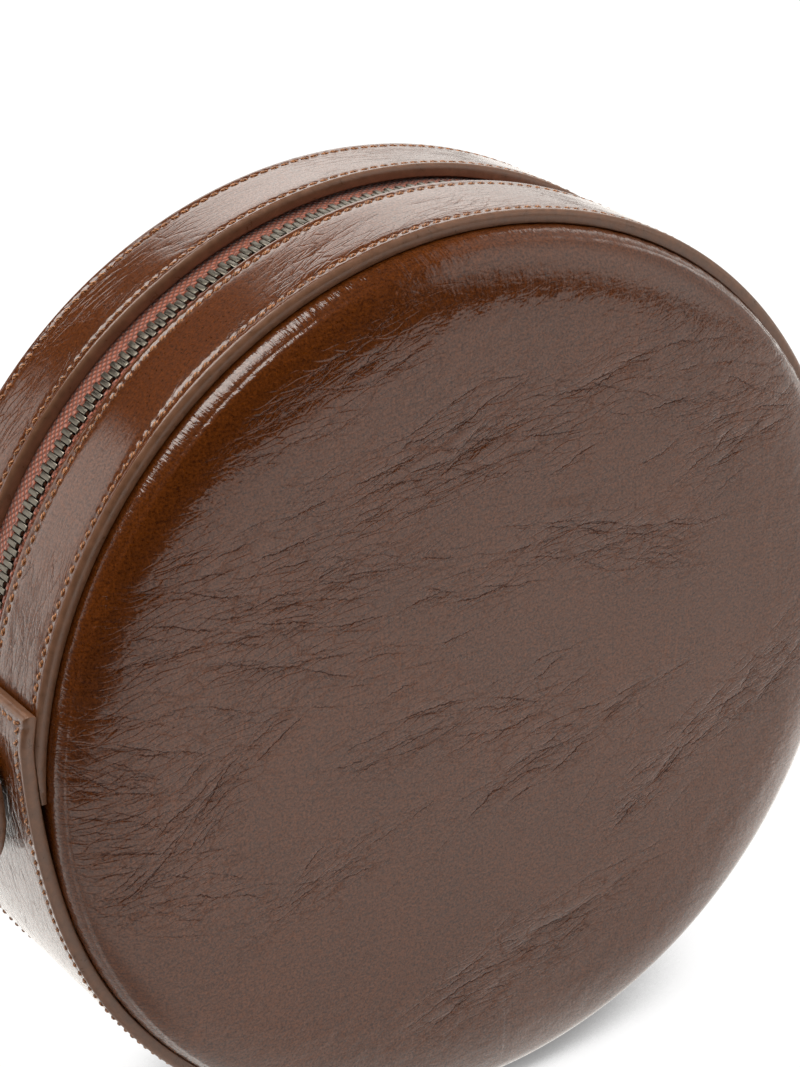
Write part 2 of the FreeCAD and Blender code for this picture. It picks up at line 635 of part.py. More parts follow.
def zip_top_stops():
    """Two clamps on the tapes' edges at the closed end."""
    body = new_body("zip_top_stops", "top_stop_turn")
    for side, sign in (("front", "-"), ("back", "+")):
        sketch = new_sketch(body, f"zip_top_stop_{side}_profile", "YZ_Plane")
        polygon(sketch, [
            (f"{sign}stop_face", "+tooth_top"),
            (f"{sign}tooth_leg", "+tooth_top"),
            (f"{sign}tooth_leg", "+slot_top"),
            (f"{sign}slot_root", "+slot_top"),
            (f"{sign}slot_root", "+slot_bottom"),
            (f"{sign}tooth_leg", "+slot_bottom"),
            (f"{sign}tooth_leg", "+tooth_bottom"),
            (f"{sign}stop_face", "+tooth_bottom"),
        ])
        pad(body, f"zip_top_stop_{side}", sketch, "stop_length", both_ways=True)
    return node(body)


def zip_bottom_stop():
    """One clamp across both tapes at the open end."""
    body = new_body("zip_bottom_stop", "bottom_stop_turn")
    sketch = new_sketch(body, "zip_bottom_stop_profile", "YZ_Plane")
    polygon(sketch, [
        ("+tooth_leg", "+tooth_top"),
        ("-tooth_leg", "+tooth_top"),
        ("-tooth_leg", "+slot_top"),
        ("-slot_root", "+slot_top"),
        ("-slot_root", "+slot_bottom"),
        ("-tooth_leg", "+slot_bottom"),
        ("-tooth_leg", "+tooth_bottom"),
        ("+tooth_leg", "+tooth_bottom"),
        ("+tooth_leg", "+slot_bottom"),
        ("+slot_root", "+slot_bottom"),
        ("+slot_root", "+slot_top"),
        ("+tooth_leg", "+slot_top"),
    ])
    pad(body, "zip_bottom_stop_pad", sketch, "stop_length", both_ways=True)
    return node(body)


def zip_slider():
    """Upper and lower plates with turned lips, joined by the divider that parts the teeth."""
    body = new_body("zip_slider", "slider_turn")
    section = new_sketch(body, "zip_slider_section", "YZ_Plane", f"-{ref('slider_tail')}")
    for plate, roof, lip in (
        ("slider_top", "slider_roof", "slider_lip"),
        ("slider_bottom", "slider_under_floor", "slider_under_lip"),
    ):
        polygon(section, [
            ("+slider_half", f"+{plate}"),
            ("-slider_half", f"+{plate}"),
            ("-slider_half", f"+{lip}"),
            ("-slider_inner_half", f"+{lip}"),
            ("-slider_inner_half", f"+{roof}"),
            ("+slider_inner_half", f"+{roof}"),
            ("+slider_inner_half", f"+{lip}"),
            ("+slider_half", f"+{lip}"),
        ])
    pad(body, "zip_slider_plates", section, "slider_length")

    plan = new_sketch(body, "zip_slider_divider_plan", "XY_Plane", ref("slider_under_floor"))
    start, length, half = value("divider_start"), value("divider_length"), value("divider_width") / 2
    corners = [(start, 0), (start + length / 2, -half), (start + length, 0), (start + length / 2, half)]
    edges = [line(plan, corners[i], corners[(i + 1) % 4]) for i in range(4)]
    for i, edge in enumerate(edges):
        tie(plan, "Coincident", edge, END, edges[(i + 1) % 4], START)
    tie(plan, "PointOnObject", edges[0], START, -1)
    tie(plan, "PointOnObject", edges[2], START, -1)
    tie(plan, "Equal", edges[0], edges[1])
    tie(plan, "Equal", edges[2], edges[3])
    tie(plan, "Equal", edges[0], edges[3])
    measure(plan, "DistanceX", "divider_start", *ORIGIN, edges[0], START)
    measure(plan, "DistanceX", "divider_length", edges[0], START, edges[2], START)
    measure(plan, "DistanceY", "divider_width", edges[1], START, edges[3], START)
    joined = pad(body, "zip_slider_divider", plan, "divider_tall")
    doc.recompute()

    # The outside corners of both plates are rounded in plan
    upright = []
    for number, edge in enumerate(joined.Shape.Edges, start=1):
        box = edge.BoundBox
        stands = box.XLength < SAME_PLACE and box.YLength < SAME_PLACE
        if stands and abs(abs(box.YMax) - value("slider_half")) < SAME_PLACE:
            upright.append(f"Edge{number}")
    rounding = body.newObject("PartDesign::Fillet", "zip_slider_corners")
    rounding.Base = (joined, upright)
    rounding.setExpression("Radius", ref("slider_corner"))
    return node(body)


def zip_slider_crown():
    """Arched bar on the slider's back, under which the pull is hinged."""
    body = new_body("zip_slider_crown", "slider_turn")
    sketch = new_sketch(body, "zip_slider_crown_profile", "XZ_Plane")
    front, back = value("crown_front"), value("crown_back")
    bar, foot, top = value("crown_bar"), value("slider_top"), value("crown_top")
    corners = [
        (front, foot), (front + bar, foot), (front + bar, top - bar), (front, top),
        (back, top), (back - bar, top - bar), (back - bar, foot), (back, foot),
        (back, top - bar), (front, top - bar),
    ]
    count = len(corners)
    edges = [line(sketch, corners[i], corners[(i + 1) % count]) for i in range(count)]
    for i, edge in enumerate(edges):
        tie(sketch, "Coincident", edge, END, edges[(i + 1) % count], START)
    front_foot, front_side, _, roof, _, back_side, back_foot, back_leg, ceiling, front_leg = edges
    for flat in (front_foot, roof, back_foot, ceiling):
        tie(sketch, "Horizontal", flat)
    for upright in (front_side, back_side, back_leg, front_leg):
        tie(sketch, "Vertical", upright)
    measure(sketch, "DistanceX", "crown_front", *ORIGIN, front_foot, START)
    measure(sketch, "DistanceX", "crown_bar", front_foot, START, front_foot, END)
    measure(sketch, "DistanceX", "crown_bar", back_foot, START, back_foot, END)
    measure(sketch, "DistanceX", "crown_opening", back_foot, END, front_foot, START)
    measure(sketch, "DistanceX", "crown_opening", roof, END, roof, START)
    measure(sketch, "DistanceX", "crown_front", *ORIGIN, roof, START)
    measure(sketch, "DistanceY", "slider_top", *ORIGIN, front_foot, START)
    measure(sketch, "DistanceY", "slider_top", *ORIGIN, back_foot, START)
    measure(sketch, "DistanceY", "crown_top", *ORIGIN, roof, START)
    measure(sketch, "DistanceY", "crown_bar", ceiling, START, roof, END)
    measure(sketch, "DistanceY", "crown_bar", front_side, END, roof, START)
    measure(sketch, "DistanceY", "crown_bar", back_side, START, roof, END)
    pad(body, "zip_slider_crown_pad", sketch, "crown_width", both_ways=True)
    return node(body)


def zip_pull():
    """Flat tab with a window for the crown, hinged on the round bar at its end."""
    plate = doc.addObject("Part::Box", "zip_pull_plate")
    plate.setExpression("Length", f"{ref('pull_length')} - {ref('pull_width')} / 2")
    plate.setExpression("Width", ref("pull_width"))
    plate.setExpression("Height", f"2 * {ref('pull_bar_radius')}")
    plate.setExpression("Placement.Base.y", f"-{ref('pull_width')} / 2")
    plate.setExpression("Placement.Base.z", f"-{ref('pull_bar_radius')}")
    tip = doc.addObject("Part::Cylinder", "zip_pull_tip")
    tip.setExpression("Radius", f"{ref('pull_width')} / 2")
    tip.setExpression("Height", f"2 * {ref('pull_bar_radius')}")
    tip.setExpression("Placement.Base.x", ref("pull_hole_place"))
    tip.setExpression("Placement.Base.z", f"-{ref('pull_bar_radius')}")
    bar = doc.addObject("Part::Cylinder", "zip_pull_bar")
    bar.Placement = Placement(Vector(), Rotation(Vector(1, 0, 0), 90))
    bar.setExpression("Radius", ref("pull_bar_radius"))
    bar.setExpression("Height", ref("pull_width"))
    bar.setExpression("Placement.Base.y", f"{ref('pull_width')} / 2")
    window = doc.addObject("Part::Box", "zip_pull_window")
    window.setExpression("Length", f"{ref('pull_eye')} - {ref('pull_bar_radius')}")
    window.setExpression("Width", f"2 * {ref('pull_inner_half')}")
    window.setExpression("Height", f"4 * {ref('pull_bar_radius')}")
    window.setExpression("Placement.Base.x", ref("pull_bar_radius"))
    window.setExpression("Placement.Base.y", f"-{ref('pull_inner_half')}")
    window.setExpression("Placement.Base.z", f"-2 * {ref('pull_bar_radius')}")
    eyelet = doc.addObject("Part::Cylinder", "zip_pull_eyelet")
    eyelet.setExpression("Radius", ref("pull_hole_radius"))
    eyelet.setExpression("Height", f"4 * {ref('pull_bar_radius')}")
    eyelet.setExpression("Placement.Base.x", ref("pull_hole_place"))
    eyelet.setExpression("Placement.Base.z", f"-2 * {ref('pull_bar_radius')}")
    flat = combine("Part::Fuse", "zip_pull_flat", plate, tip)
    rounded = combine("Part::Fuse", "zip_pull_rounded", flat, bar)
    open_eye = combine("Part::Cut", "zip_pull_open", rounded, window)
    pull = combine("Part::Cut", "zip_pull", open_eye, eyelet)
    pull.Placement = Placement(Vector(), Rotation(Vector(0, 1, 0), 1))
    turn = f"{ref('slider_turn')} * 1 deg"
    across, up = ref("pull_bar_place"), ref("pull_axis_height")
    pull.setExpression("Placement.Rotation.Angle", turn)
    pull.setExpression("Placement.Base.x", f"{across} * cos({turn}) + {up} * sin({turn})")
    pull.setExpression("Placement.Base.z", f"{ref('middle_height')} + {up} * cos({turn})"
                                           f" - {across} * sin({turn})")
    return node(pull)


def strap_layer(name, inner_side):
    """One layer of the strap: straight past the stud, flared, then over in one arch."""
    body = new_body(name, "strap_turn", Vector(1, 0, 0))
    sketch = new_sketch(body, f"{name}_profile", "XZ_Plane")
    layer, flare = value("strap_layer"), value("strap_flare_angle")
    inset = 0.0 if inner_side == "strap_inner" else layer
    foot, knee = -value("strap_half"), value("strap_straight")
    flare_middle = (value("flare_centre"), knee)
    arch_middle = (0, value("arch_centre"))
    faces = []
    for outset in (inset, inset + layer):
        near = value("strap_inner") + outset
        bend = value("strap_flare_radius") - outset
        arch = value("arch_radius") + outset
        bend_end = (flare_middle[0] - bend * math.cos(math.radians(flare)),
                    knee + bend * math.sin(math.radians(flare)))
        leg_end = (arch * math.cos(math.radians(flare)),
                   arch_middle[1] - arch * math.sin(math.radians(flare)))
        straight = line(sketch, (near, foot), (near, knee))
        turn = arc(sketch, flare_middle, bend, 180 - flare, 180)
        leg = line(sketch, bend_end, leg_end)
        over = arc(sketch, arch_middle, arch, -flare, 90)
        tie(sketch, "Vertical", straight)
        tie(sketch, "Tangent", straight, END, turn, END)
        tie(sketch, "Tangent", turn, START, leg, START)
        tie(sketch, "Tangent", leg, END, over, START)
        faces.append((straight, turn, leg, over))
    (straight, turn, leg, over), (out_straight, out_turn, out_leg, out_over) = faces
    end = line(sketch, (value("strap_inner") + inset, foot), (value("strap_inner") + inset + layer, foot))
    crest = arch_middle[1] + value("arch_radius") + inset
    middle = line(sketch, (0, crest), (0, crest + layer))
    tie(sketch, "Coincident", end, START, straight, START)
    tie(sketch, "Coincident", end, END, out_straight, START)
    tie(sketch, "Horizontal", end)
    tie(sketch, "Coincident", middle, START, over, END)
    tie(sketch, "Coincident", middle, END, out_over, END)
    tie(sketch, "PointOnObject", middle, START, -2)
    tie(sketch, "PointOnObject", middle, END, -2)
    tie(sketch, "PointOnObject", over, CENTRE, -2)
    tie(sketch, "Coincident", turn, CENTRE, out_turn, CENTRE)
    tie(sketch, "Coincident", over, CENTRE, out_over, CENTRE)
    tie(sketch, "Parallel", leg, out_leg)
    measure(sketch, "DistanceX", inner_side, *ORIGIN, straight, START)
    measure(sketch, "DistanceX", "strap_layer", straight, START, out_straight, START)
    measure(sketch, "DistanceY", "strap_half", straight, START, *ORIGIN)
    measure(sketch, "DistanceY", "strap_straight", *ORIGIN, turn, CENTRE)
    measure(sketch, "DistanceX", "flare_centre", *ORIGIN, turn, CENTRE)
    measure(sketch, "DistanceY", "arch_centre", *ORIGIN, over, CENTRE)
    measure(sketch, "Distance", "strap_leg", leg)
    half = pad(body, f"{name}_half", sketch, "strap_width", both_ways=True)
    planes = {feature.Role: feature for feature in body.Origin.OriginFeatures}
    loop = body.newObject("PartDesign::Mirrored", f"{name}_loop")
    loop.Originals = [half]
    loop.MirrorPlane = (planes["YZ_Plane"], [""])
    body.Tip = loop

    # Everything outside a half circle about the stud is cut away from both ends
    ends = new_sketch(body, f"{name}_round_ends", "YZ_Plane")
    radius = value("strap_half")
    rounded = arc(ends, (0, 0), radius, 180, 360)
    corners = [(radius, 0), (2 * radius, 0), (2 * radius, -2 * radius), (-2 * radius, -2 * radius),
               (-2 * radius, 0), (-radius, 0)]
    edges = [line(ends, corners[i], corners[i + 1]) for i in range(5)]
    tie(ends, "Coincident", rounded, CENTRE, *ORIGIN)
    tie(ends, "Coincident", rounded, END, edges[0], START)
    tie(ends, "Coincident", rounded, START, edges[4], END)
    for i in range(4):
        tie(ends, "Coincident", edges[i], END, edges[i + 1], START)
    for flat in (edges[0], edges[2], edges[4]):
        tie(ends, "Horizontal", flat)
    for upright in (edges[1], edges[3]):
        tie(ends, "Vertical", upright)
    tie(ends, "PointOnObject", edges[0], START, -1)
    tie(ends, "PointOnObject", edges[4], END, -1)
    measure(ends, "Radius", "strap_half", rounded)
    for edge in (edges[0], edges[4]):
        measure(ends, "Distance", "strap_half", edge)
    measure(ends, "Distance", "strap_width", edges[1])
    cut_through(body, f"{name}_rounding", ends)

    stud_holes = new_sketch(body, f"{name}_stud_holes", "YZ_Plane")
    hole(stud_holes, "stud_hole_radius")
    cut_through(body, f"{name}_studs", stud_holes)
    return node(body)


def stud_pieces():
    """Screw post, cap screw, spacer and backplate on the right, and their twins on the left."""
    flange = cylinder("stud_flange", "stud_flange_radius", "stud_start", "stud_flange", "x")
    shank = cylinder("stud_shank", "stud_radius", "stud_start", "stud_length", "x")
    bore = cylinder("stud_bore", "stud_bore_radius", "stud_flange_face", "stud_length", "x")
    stud = combine("Part::Fuse", "stud_solid", flange, shank)
    post = combine("Part::Cut", "strap_post_right", stud, bore)

    head = cylinder("cap_head", "cap_radius", "stud_end", "cap_thickness", "x")
    screw = cylinder("cap_screw", "screw_radius", "screw_start", "screw_length", "x")
    slot = doc.addObject("Part::Box", "cap_slot")
    slot.setExpression("Length", ref("cap_thickness"))
    slot.setExpression("Width", ref("slot_length"))
    slot.setExpression("Height", ref("cap_slot"))
    slot.setExpression("Placement.Base.x", ref("slot_start"))
    slot.setExpression("Placement.Base.y", f"-{ref('cap_radius')}")
    slot.setExpression("Placement.Base.z", f"{ref('middle_height')} - {ref('cap_slot')} / 2")
    bolt = combine("Part::Fuse", "cap_solid", head, screw)
    cap = combine("Part::Cut", "strap_cap_right", bolt, slot)

    disc = cylinder("spacer_disc", "spacer_radius", "spacer_start", "spacer_thickness", "x")
    way = cylinder("spacer_way", "stud_hole_radius", "spacer_start", "spacer_thickness", "x")
    spacer = combine("Part::Cut", "strap_spacer_right", disc, way)

    patch = cylinder("backplate_disc", "backplate_radius", "backplate_start", "backplate_thickness", "x")
    gap = cylinder("backplate_way", "stud_hole_radius", "backplate_start", "backplate_thickness", "x")
    backplate = combine("Part::Cut", "strap_backplate_right", patch, gap)

    for piece in (post, cap, spacer, backplate):
        node(piece)
        mirror(piece, piece.Label.replace("_right", "_left"), Vector(1, 0, 0))


def write_nodes():
    """Checks every object, then writes each piece to a file of its own."""
    doc.recompute()
    for item in doc.Objects:
        if "Invalid" in item.State or "Error" in item.State:
            raise RuntimeError(f"{item.Label} did not build: {item.State}")
    for piece in nodes:
        if piece.Shape.isNull() or not piece.Shape.isValid():
            raise RuntimeError(f"{piece.Label} has no valid shape")
    os.makedirs("parts", exist_ok=True)
    for piece in nodes:
        piece.Shape.exportStep(f"parts/{piece.Label}.step")


front_pieces = [
    front_panel(),
    front_foam(),
    node(cylinder("front_board", "board_radius", "board_back", "board_thickness", "y")),
    node(cylinder("front_lining", "board_radius", "lining_back", "lining_thickness", "y")),
    band("front_zip_gusset", "bag_radius", "wall_inner", "gusset_end_angle", "far_end_angle",
         ref("window_edge"), "strip_width"),
    band("front_zip_tape", "flange_outer", "tape_inner", "gusset_end_angle", "far_end_angle",
         ref("tape_edge"), "tape_width"),
    band("front_zip_facing", "facing_outer", "facing_inner", "gusset_end_angle", "far_end_angle",
         ref("facing_edge"), "facing_width"),
]
for front_piece in front_pieces:
    mirror(front_piece, front_piece.Label.replace("front_", "back_"), Vector(0, 1, 0))

base_gusset()
band("base_board", "flange_outer", "flange_inner", "base_board_angle", "base_board_end",
     f"-{ref('base_board_half')}", "base_board_width")
base_lining()
zip_teeth("zip_teeth_front", "front", "chain_turn")
zip_teeth("zip_teeth_back", "back", "chain_turn_back")
zip_top_stops()
zip_bottom_stop()
zip_slider()
zip_slider_crown()
zip_pull()
strap_layer("strap_backing", "strap_inner")
strap_layer("strap_face", "strap_middle")
stud_pieces()
write_nodes()
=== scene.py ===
"""Looks of a round leather bag: padded panels, stitched gussets, metal zip and loop strap.

Lengths inside the shape functions are in millimetres. Angles round the drum are counted
from +X towards +Z, and its axis runs along Y.
"""

import math

import bmesh
import bpy
import numpy as np
from bpy.props import FloatProperty, FloatVectorProperty, IntProperty, PointerProperty
from mathutils import Matrix, Vector


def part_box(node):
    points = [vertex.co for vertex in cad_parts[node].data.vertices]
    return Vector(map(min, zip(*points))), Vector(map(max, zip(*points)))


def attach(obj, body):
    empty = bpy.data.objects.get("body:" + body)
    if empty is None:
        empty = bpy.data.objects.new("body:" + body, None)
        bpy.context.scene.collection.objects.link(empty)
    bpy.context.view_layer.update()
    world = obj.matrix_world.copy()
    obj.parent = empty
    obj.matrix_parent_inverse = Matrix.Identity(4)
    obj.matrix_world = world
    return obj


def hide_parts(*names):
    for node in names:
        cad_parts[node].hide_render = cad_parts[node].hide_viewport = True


bl_info = {
    "name": "Round leather bag",
    "version": (1, 0, 0),
    "blender": (4, 5, 0),
    "location": "View3D > Sidebar > Bag",
    "description": "Dresses the frame of a round leather bag",
    "category": "Object",
}

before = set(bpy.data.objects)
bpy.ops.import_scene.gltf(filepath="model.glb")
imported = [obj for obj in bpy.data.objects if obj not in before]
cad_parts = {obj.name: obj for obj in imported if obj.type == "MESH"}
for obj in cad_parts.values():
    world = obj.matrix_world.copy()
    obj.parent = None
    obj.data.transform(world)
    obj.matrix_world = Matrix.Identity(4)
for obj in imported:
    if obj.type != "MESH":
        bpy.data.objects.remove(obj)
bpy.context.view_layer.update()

MM = 0.001

# Names of the values that a piece holds at its points
SHEET, WORN, CREASE, RIM = "sheet", "worn", "crease", "rim"
CREASE_LAYERS = 10

LEATHER_SIDES = ("patent_leather", "painted_edge", "flesh_side")
FACE, EDGE, BACK = 0, 1, 2


def extent(node, end, axis):
    """Least (0) or greatest (1) place of a node of the frame along an axis, in millimetres."""
    return getattr(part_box(node)[end], axis) / MM


# Sizes read from the frame
PANEL_EDGE = extent("front_panel", 1, "x")
MIDDLE = extent("front_panel", 0, "z") + PANEL_EDGE
CREST = -extent("front_panel", 0, "y")
HALF_WIDTH = extent("base_gusset", 1, "y")
BAG_RADIUS = extent("front_zip_gusset", 1, "z") - MIDDLE
FACING_EDGE, FACING_END = extent("back_zip_facing", 0, "y"), extent("back_zip_facing", 1, "y")

# Leather walls, and how the base gusset laps over the zip gussets, with angles in degrees
WALL, LAYER_GAP, LAP_GAP = 2.6, 0.1, 0.15
ZIP_EDGE = 5.5
GUSSET_ENDS = (10.2, 169.8)
TUCKED_ENDS = (2.5, 177.5)
LAP_RADIUS = BAG_RADIUS + LAP_GAP + WALL
LAP_TOP, TAPER_TOP, TAPER_FOOT = 13.5, 9.6, 12.0

# How far the strips beside the zip lift, and lean towards it, at the top of the bag and at their ends
RIDE_TOP, RIDE_ENDS = 0.9, -0.2
FRONT_LEAN, BACK_LEAN, BACK_LEAN_ENDS = 0.5, -0.8, -2.0
RIDE_MIDDLE, RIDE_SPREAD = 95.0, 28.0

# Padded panels
PANEL_LEATHER, FLANGE = 1.4, 8.0
ROLL_RADIUS, SHOULDER_RADIUS, ROLL_SINK = 8.0, 32.0, 0.3
ROLL_HEIGHT = HALF_WIDTH - ROLL_SINK
PANEL_NET, PANEL_FILL = 360, 0.8
PATTERN_REACH = 112.0

# Zip
TAPE_OUTER = BAG_RADIUS - WALL - LAYER_GAP
TAPE_EDGE, TAPE_WIDTH, TAPE_THICKNESS = 1.3, 13.0, 0.7
TAPE_MIDDLE = TAPE_OUTER - TAPE_THICKNESS / 2
TOOTH_PITCH, TOOTH_COUNT, CHAIN_START = 2.5, 88, 25.0
TOOTH_STEP = math.degrees(TOOTH_PITCH / TAPE_MIDDLE)
TOOTH_HALF_HEIGHT, TOOTH_LEG, TOOTH_REACH, TOOTH_THICKNESS = 1.55, 2.3, 1.2, 1.15
TOOTH_CLEARANCE, TOOTH_BEVEL, TOOTH_STRAY = 0.1, 0.24, 0.012

# Strap
STRAP_INNER, STRAP_LAYER, STRAP_HALF = 97.116, 1.4, 17.5
STRAP_STRAIGHT, STRAP_FLARE, STRAP_FLARE_ANGLE, STRAP_LEG = 26.0, 150.0, math.radians(5.0), 80.0
STRAP_LIFT = 0.3

# Inside: the cloth lies in the middle of the lining's thickness
BOARD_SINK, LINING_MIDDLE, LINING_INSET = 0.5, 0.25, 0.1
BOARD_FACE = HALF_WIDTH - BOARD_SINK
LINING_RADIUS = extent("front_lining", 1, "x") - LINING_INSET
LINING_DEPTH = extent("back_lining", 1, "y") - LINING_MIDDLE
FACING_RADIUS = extent("base_lining", 1, "x") - LINING_MIDDLE
BASE_LINING_UP, STUD_HOLE = 6.6, 3.4
FOAM_FILL, CLOTH_STEP, CLOTH_NET = 0.9, 1.2, 80
CLOTH_SWELL_LENGTH, CLOTH_SWELL = 30, 0.03


def length_of(name, description, default, least):
    """Length that can be set in the sidebar, in metres."""
    return FloatProperty(name=name, description=description, default=default, min=least,
                         unit="LENGTH", subtype="DISTANCE", precision=5)


def colour_of(name, description, default):
    """Colour that can be set in the sidebar."""
    return FloatVectorProperty(name=name, description=description, default=default,
                               subtype="COLOR", size=3, min=0, max=1)


class BagSizes(bpy.types.PropertyGroup):
    """Sizes of the sewing and the leather's relief."""

    stitch_pitch: length_of("Stitch pitch", "From one stitch to the next along a seam", 0.0023, 0.001)
    stitch_length: length_of("Stitch length", "Length of thread that shows of each stitch", 0.00205, 0.0005)
    thread_radius: length_of("Thread radius", "Half the thickness of the sewing thread", 0.00031, 0.0001)
    seam_inset: length_of("Seam inset", "From the edge of a strip to its row of stitches", 0.0024, 0.001)
    crease_depth: length_of("Crease depth", "Depth of the soft folds in the panels", 0.00012, 0.0)
    puff: length_of("Puff", "How far a strip swells between its rows of stitches", 0.00014, 0.0)
    seed: IntProperty(name="Seed", description="Start of the random creases", default=11, min=0)


class BagColours(bpy.types.PropertyGroup):
    """Colours of the leather, the sewing and the zip."""

    leather_dark: colour_of("Leather, dark", "Darker tone of the brown leather", (0.042, 0.0090, 0.0007))
    leather_light: colour_of("Leather, light", "Lighter tone of the brown leather", (0.150, 0.0370, 0.0038))
    edge: colour_of("Painted edge", "Paint on the cut edges of the leather", (0.178, 0.083, 0.045))
    thread: colour_of("Thread", "Sewing thread", (0.33, 0.135, 0.050))
    tape: colour_of("Zip tape", "Woven tape of the zip", (0.36, 0.104, 0.058))
    metal: colour_of("Metal", "Antique nickel of the zip and the studs", (0.120, 0.107, 0.088))
    lining: colour_of("Lining", "Twill lining", (0.075, 0.045, 0.030))


class Finish:
    """Node tree of a material or the world, with short ways to add its nodes and join them."""

    def __init__(self, tree):
        self.tree = tree
        tree.nodes.clear()

    @classmethod
    def of_material(cls, name):
        """Node tree of a new material."""
        material = bpy.data.materials.new(name)
        material.use_nodes = True
        return cls(material.node_tree)

    def node(self, kind, inputs=None, **settings):
        made = self.tree.nodes.new(kind)
        for name, setting in settings.items():
            setattr(made, name, setting)
        for key, source in (inputs or {}).items():
            if isinstance(source, bpy.types.NodeSocket):
                self.tree.links.new(source, made.inputs[key])
            else:
                made.inputs[key].default_value = source
        return made

    def flat_pattern(self, length=(1.0, 1.0), turn=0.0):
        """Place on the piece's flat pattern, counted in a length of millimetres each way."""
        place = self.node("ShaderNodeUVMap", uv_map=SHEET)
        return self.node("ShaderNodeMapping", {
            "Vector": place.outputs["UV"],
            "Rotation": (0, 0, math.radians(turn)),
            "Scale": (length[0] * MM, length[1] * MM, MM),
        }, vector_type="TEXTURE").outputs["Vector"]

    def place(self):
        """Place in the piece's own space, in millimetres."""
        where = self.node("ShaderNodeTexCoord")
        return self.node("ShaderNodeMapping", {
            "Vector": where.outputs["Object"],
            "Scale": (1 / MM, 1 / MM, 1 / MM),
        }).outputs["Vector"]

    def field(self, name, output="Vector"):
        """Values that the piece holds at its points."""
        return self.node("ShaderNodeAttribute", attribute_name=name).outputs[output]

    def parts(self, vector):
        """The three numbers of a vector."""
        return self.node("ShaderNodeSeparateXYZ", {0: vector}).outputs

    def noise(self, vector, scale, detail=2.0, rough=0.5, distortion=0.0, output="Fac"):
        return self.node("ShaderNodeTexNoise", {
            "Vector": vector, "Scale": scale, "Detail": detail, "Roughness": rough,
            "Distortion": distortion,
        }).outputs[output]

    def cells(self, vector, scale):
        """Distance to the nearest border between random cells."""
        return self.node("ShaderNodeTexVoronoi", {
            "Vector": vector, "Scale": scale, "Randomness": 1.0,
        }, feature="DISTANCE_TO_EDGE").outputs["Distance"]

    def ribs(self, vector, scale, distortion, detail):
        """Slanted bands, from 0 to 1."""
        return self.node("ShaderNodeTexWave", {
            "Vector": vector, "Scale": scale, "Distortion": distortion, "Detail": detail,
        }, wave_type="BANDS", bands_direction="DIAGONAL").outputs["Fac"]

    def lines(self, vector, width, detail=3.0):
        """Wandering lines, 1 in their middle and 0 beside them, where a noise crosses its mean."""
        away = self.math("ABSOLUTE", self.less(self.noise(vector, 1.0, detail), 0.5))
        return self.between(away, 0.0, width, 1.0, 0.0)

    def math(self, operation, first, second=0.0):
        return self.node("ShaderNodeMath", {0: first, 1: second}, operation=operation).outputs["Value"]

    def vectors(self, operation, first, second):
        made = self.node("ShaderNodeVectorMath", {0: first, 1: second}, operation=operation)
        return made.outputs["Vector"]

    def in_turn(self, operation, amounts):
        """One operation over all the amounts in turn."""
        total = amounts[0]
        for amount in amounts[1:]:
            total = self.math(operation, total, amount)
        return total

    def times(self, *amounts):
        return self.in_turn("MULTIPLY", amounts)

    def plus(self, *amounts):
        return self.in_turn("ADD", amounts)

    def less(self, whole, taken):
        return self.math("SUBTRACT", whole, taken)

    def between(self, amount, low, high, to_low=0.0, to_high=1.0):
        """Smooth step from one range to another."""
        return self.node("ShaderNodeMapRange", {
            "Value": amount, "From Min": low, "From Max": high, "To Min": to_low, "To Max": to_high,
        }, interpolation_type="SMOOTHSTEP").outputs["Result"]

    def shades(self, amount, *stops):
        """Colour ramp through (place, colour) stops."""
        ramp = self.node("ShaderNodeValToRGB", {"Fac": amount})
        elements = ramp.color_ramp.elements
        while len(elements) < len(stops):
            elements.new(0.5)
        for element, (place, colour) in zip(elements, stops):
            element.position = place
            element.color = (*colour, 1.0)
        return ramp.outputs["Color"]

    def bump(self, height, depth, under=None):
        """Relief of a depth in millimetres, over another relief."""
        inputs = {"Height": height, "Strength": 1.0, "Distance": depth * MM}
        if under:
            inputs["Normal"] = under
        return self.node("ShaderNodeBump", inputs).outputs["Normal"]

    def surface(self, **inputs):
        """Principled surface whose sockets are given by name, with _ for a space."""
        shader = self.node("ShaderNodeBsdfPrincipled", {
            key.replace("_", " "): source for key, source in inputs.items()})
        output = self.node("ShaderNodeOutputMaterial", {"Surface": shader.outputs["BSDF"]})
        output.is_active_output = True


def shade(colour, factor):
    return tuple(channel * factor for channel in colour)


def crease_lines(finish, sheet):
    """Fine crease lines and the soft folds beside them.

    Each layer holds the distance to its nearest line in millimetres, and how deep that line is.
    """
    shake = finish.times(finish.less(finish.noise(sheet, 0.9, 3.0, 0.6), 0.5), 1.3)
    creases, folds = 0.0, 0.0
    for layer in range(CREASE_LAYERS):
        offset, depth, _ = finish.parts(finish.field(f"{CREASE}_{layer}"))
        away = finish.math("ABSOLUTE", finish.plus(offset, shake))
        line = finish.times(finish.between(away, 0.02, 0.22, 1.0, 0.0), depth)
        fold = finish.times(finish.between(away, 0.0, 0.85, 1.0, 0.0), depth)
        creases = finish.math("MAXIMUM", creases, line)
        folds = finish.math("MAXIMUM", folds, fold)
    return creases, folds


def rim_gathers(finish, sheet):
    """Pleats where a panel turns in at its rim, and swags on its shoulder."""
    along, gathered, out = finish.parts(finish.field(RIM))
    spread = finish.node("ShaderNodeCombineXYZ", {"X": along, "Y": finish.times(out, 0.14)})
    pleats = finish.times(gathered, finish.noise(spread.outputs["Vector"], 1.7, 2.0))
    shoulder = finish.times(finish.math("MINIMUM", gathered, 0.3),
                            finish.between(gathered, 0.26, 0.5, 1.0, 0.0))
    swags = finish.times(shoulder, finish.noise(sheet, 0.22, 3.0, 0.55))
    return pleats, swags


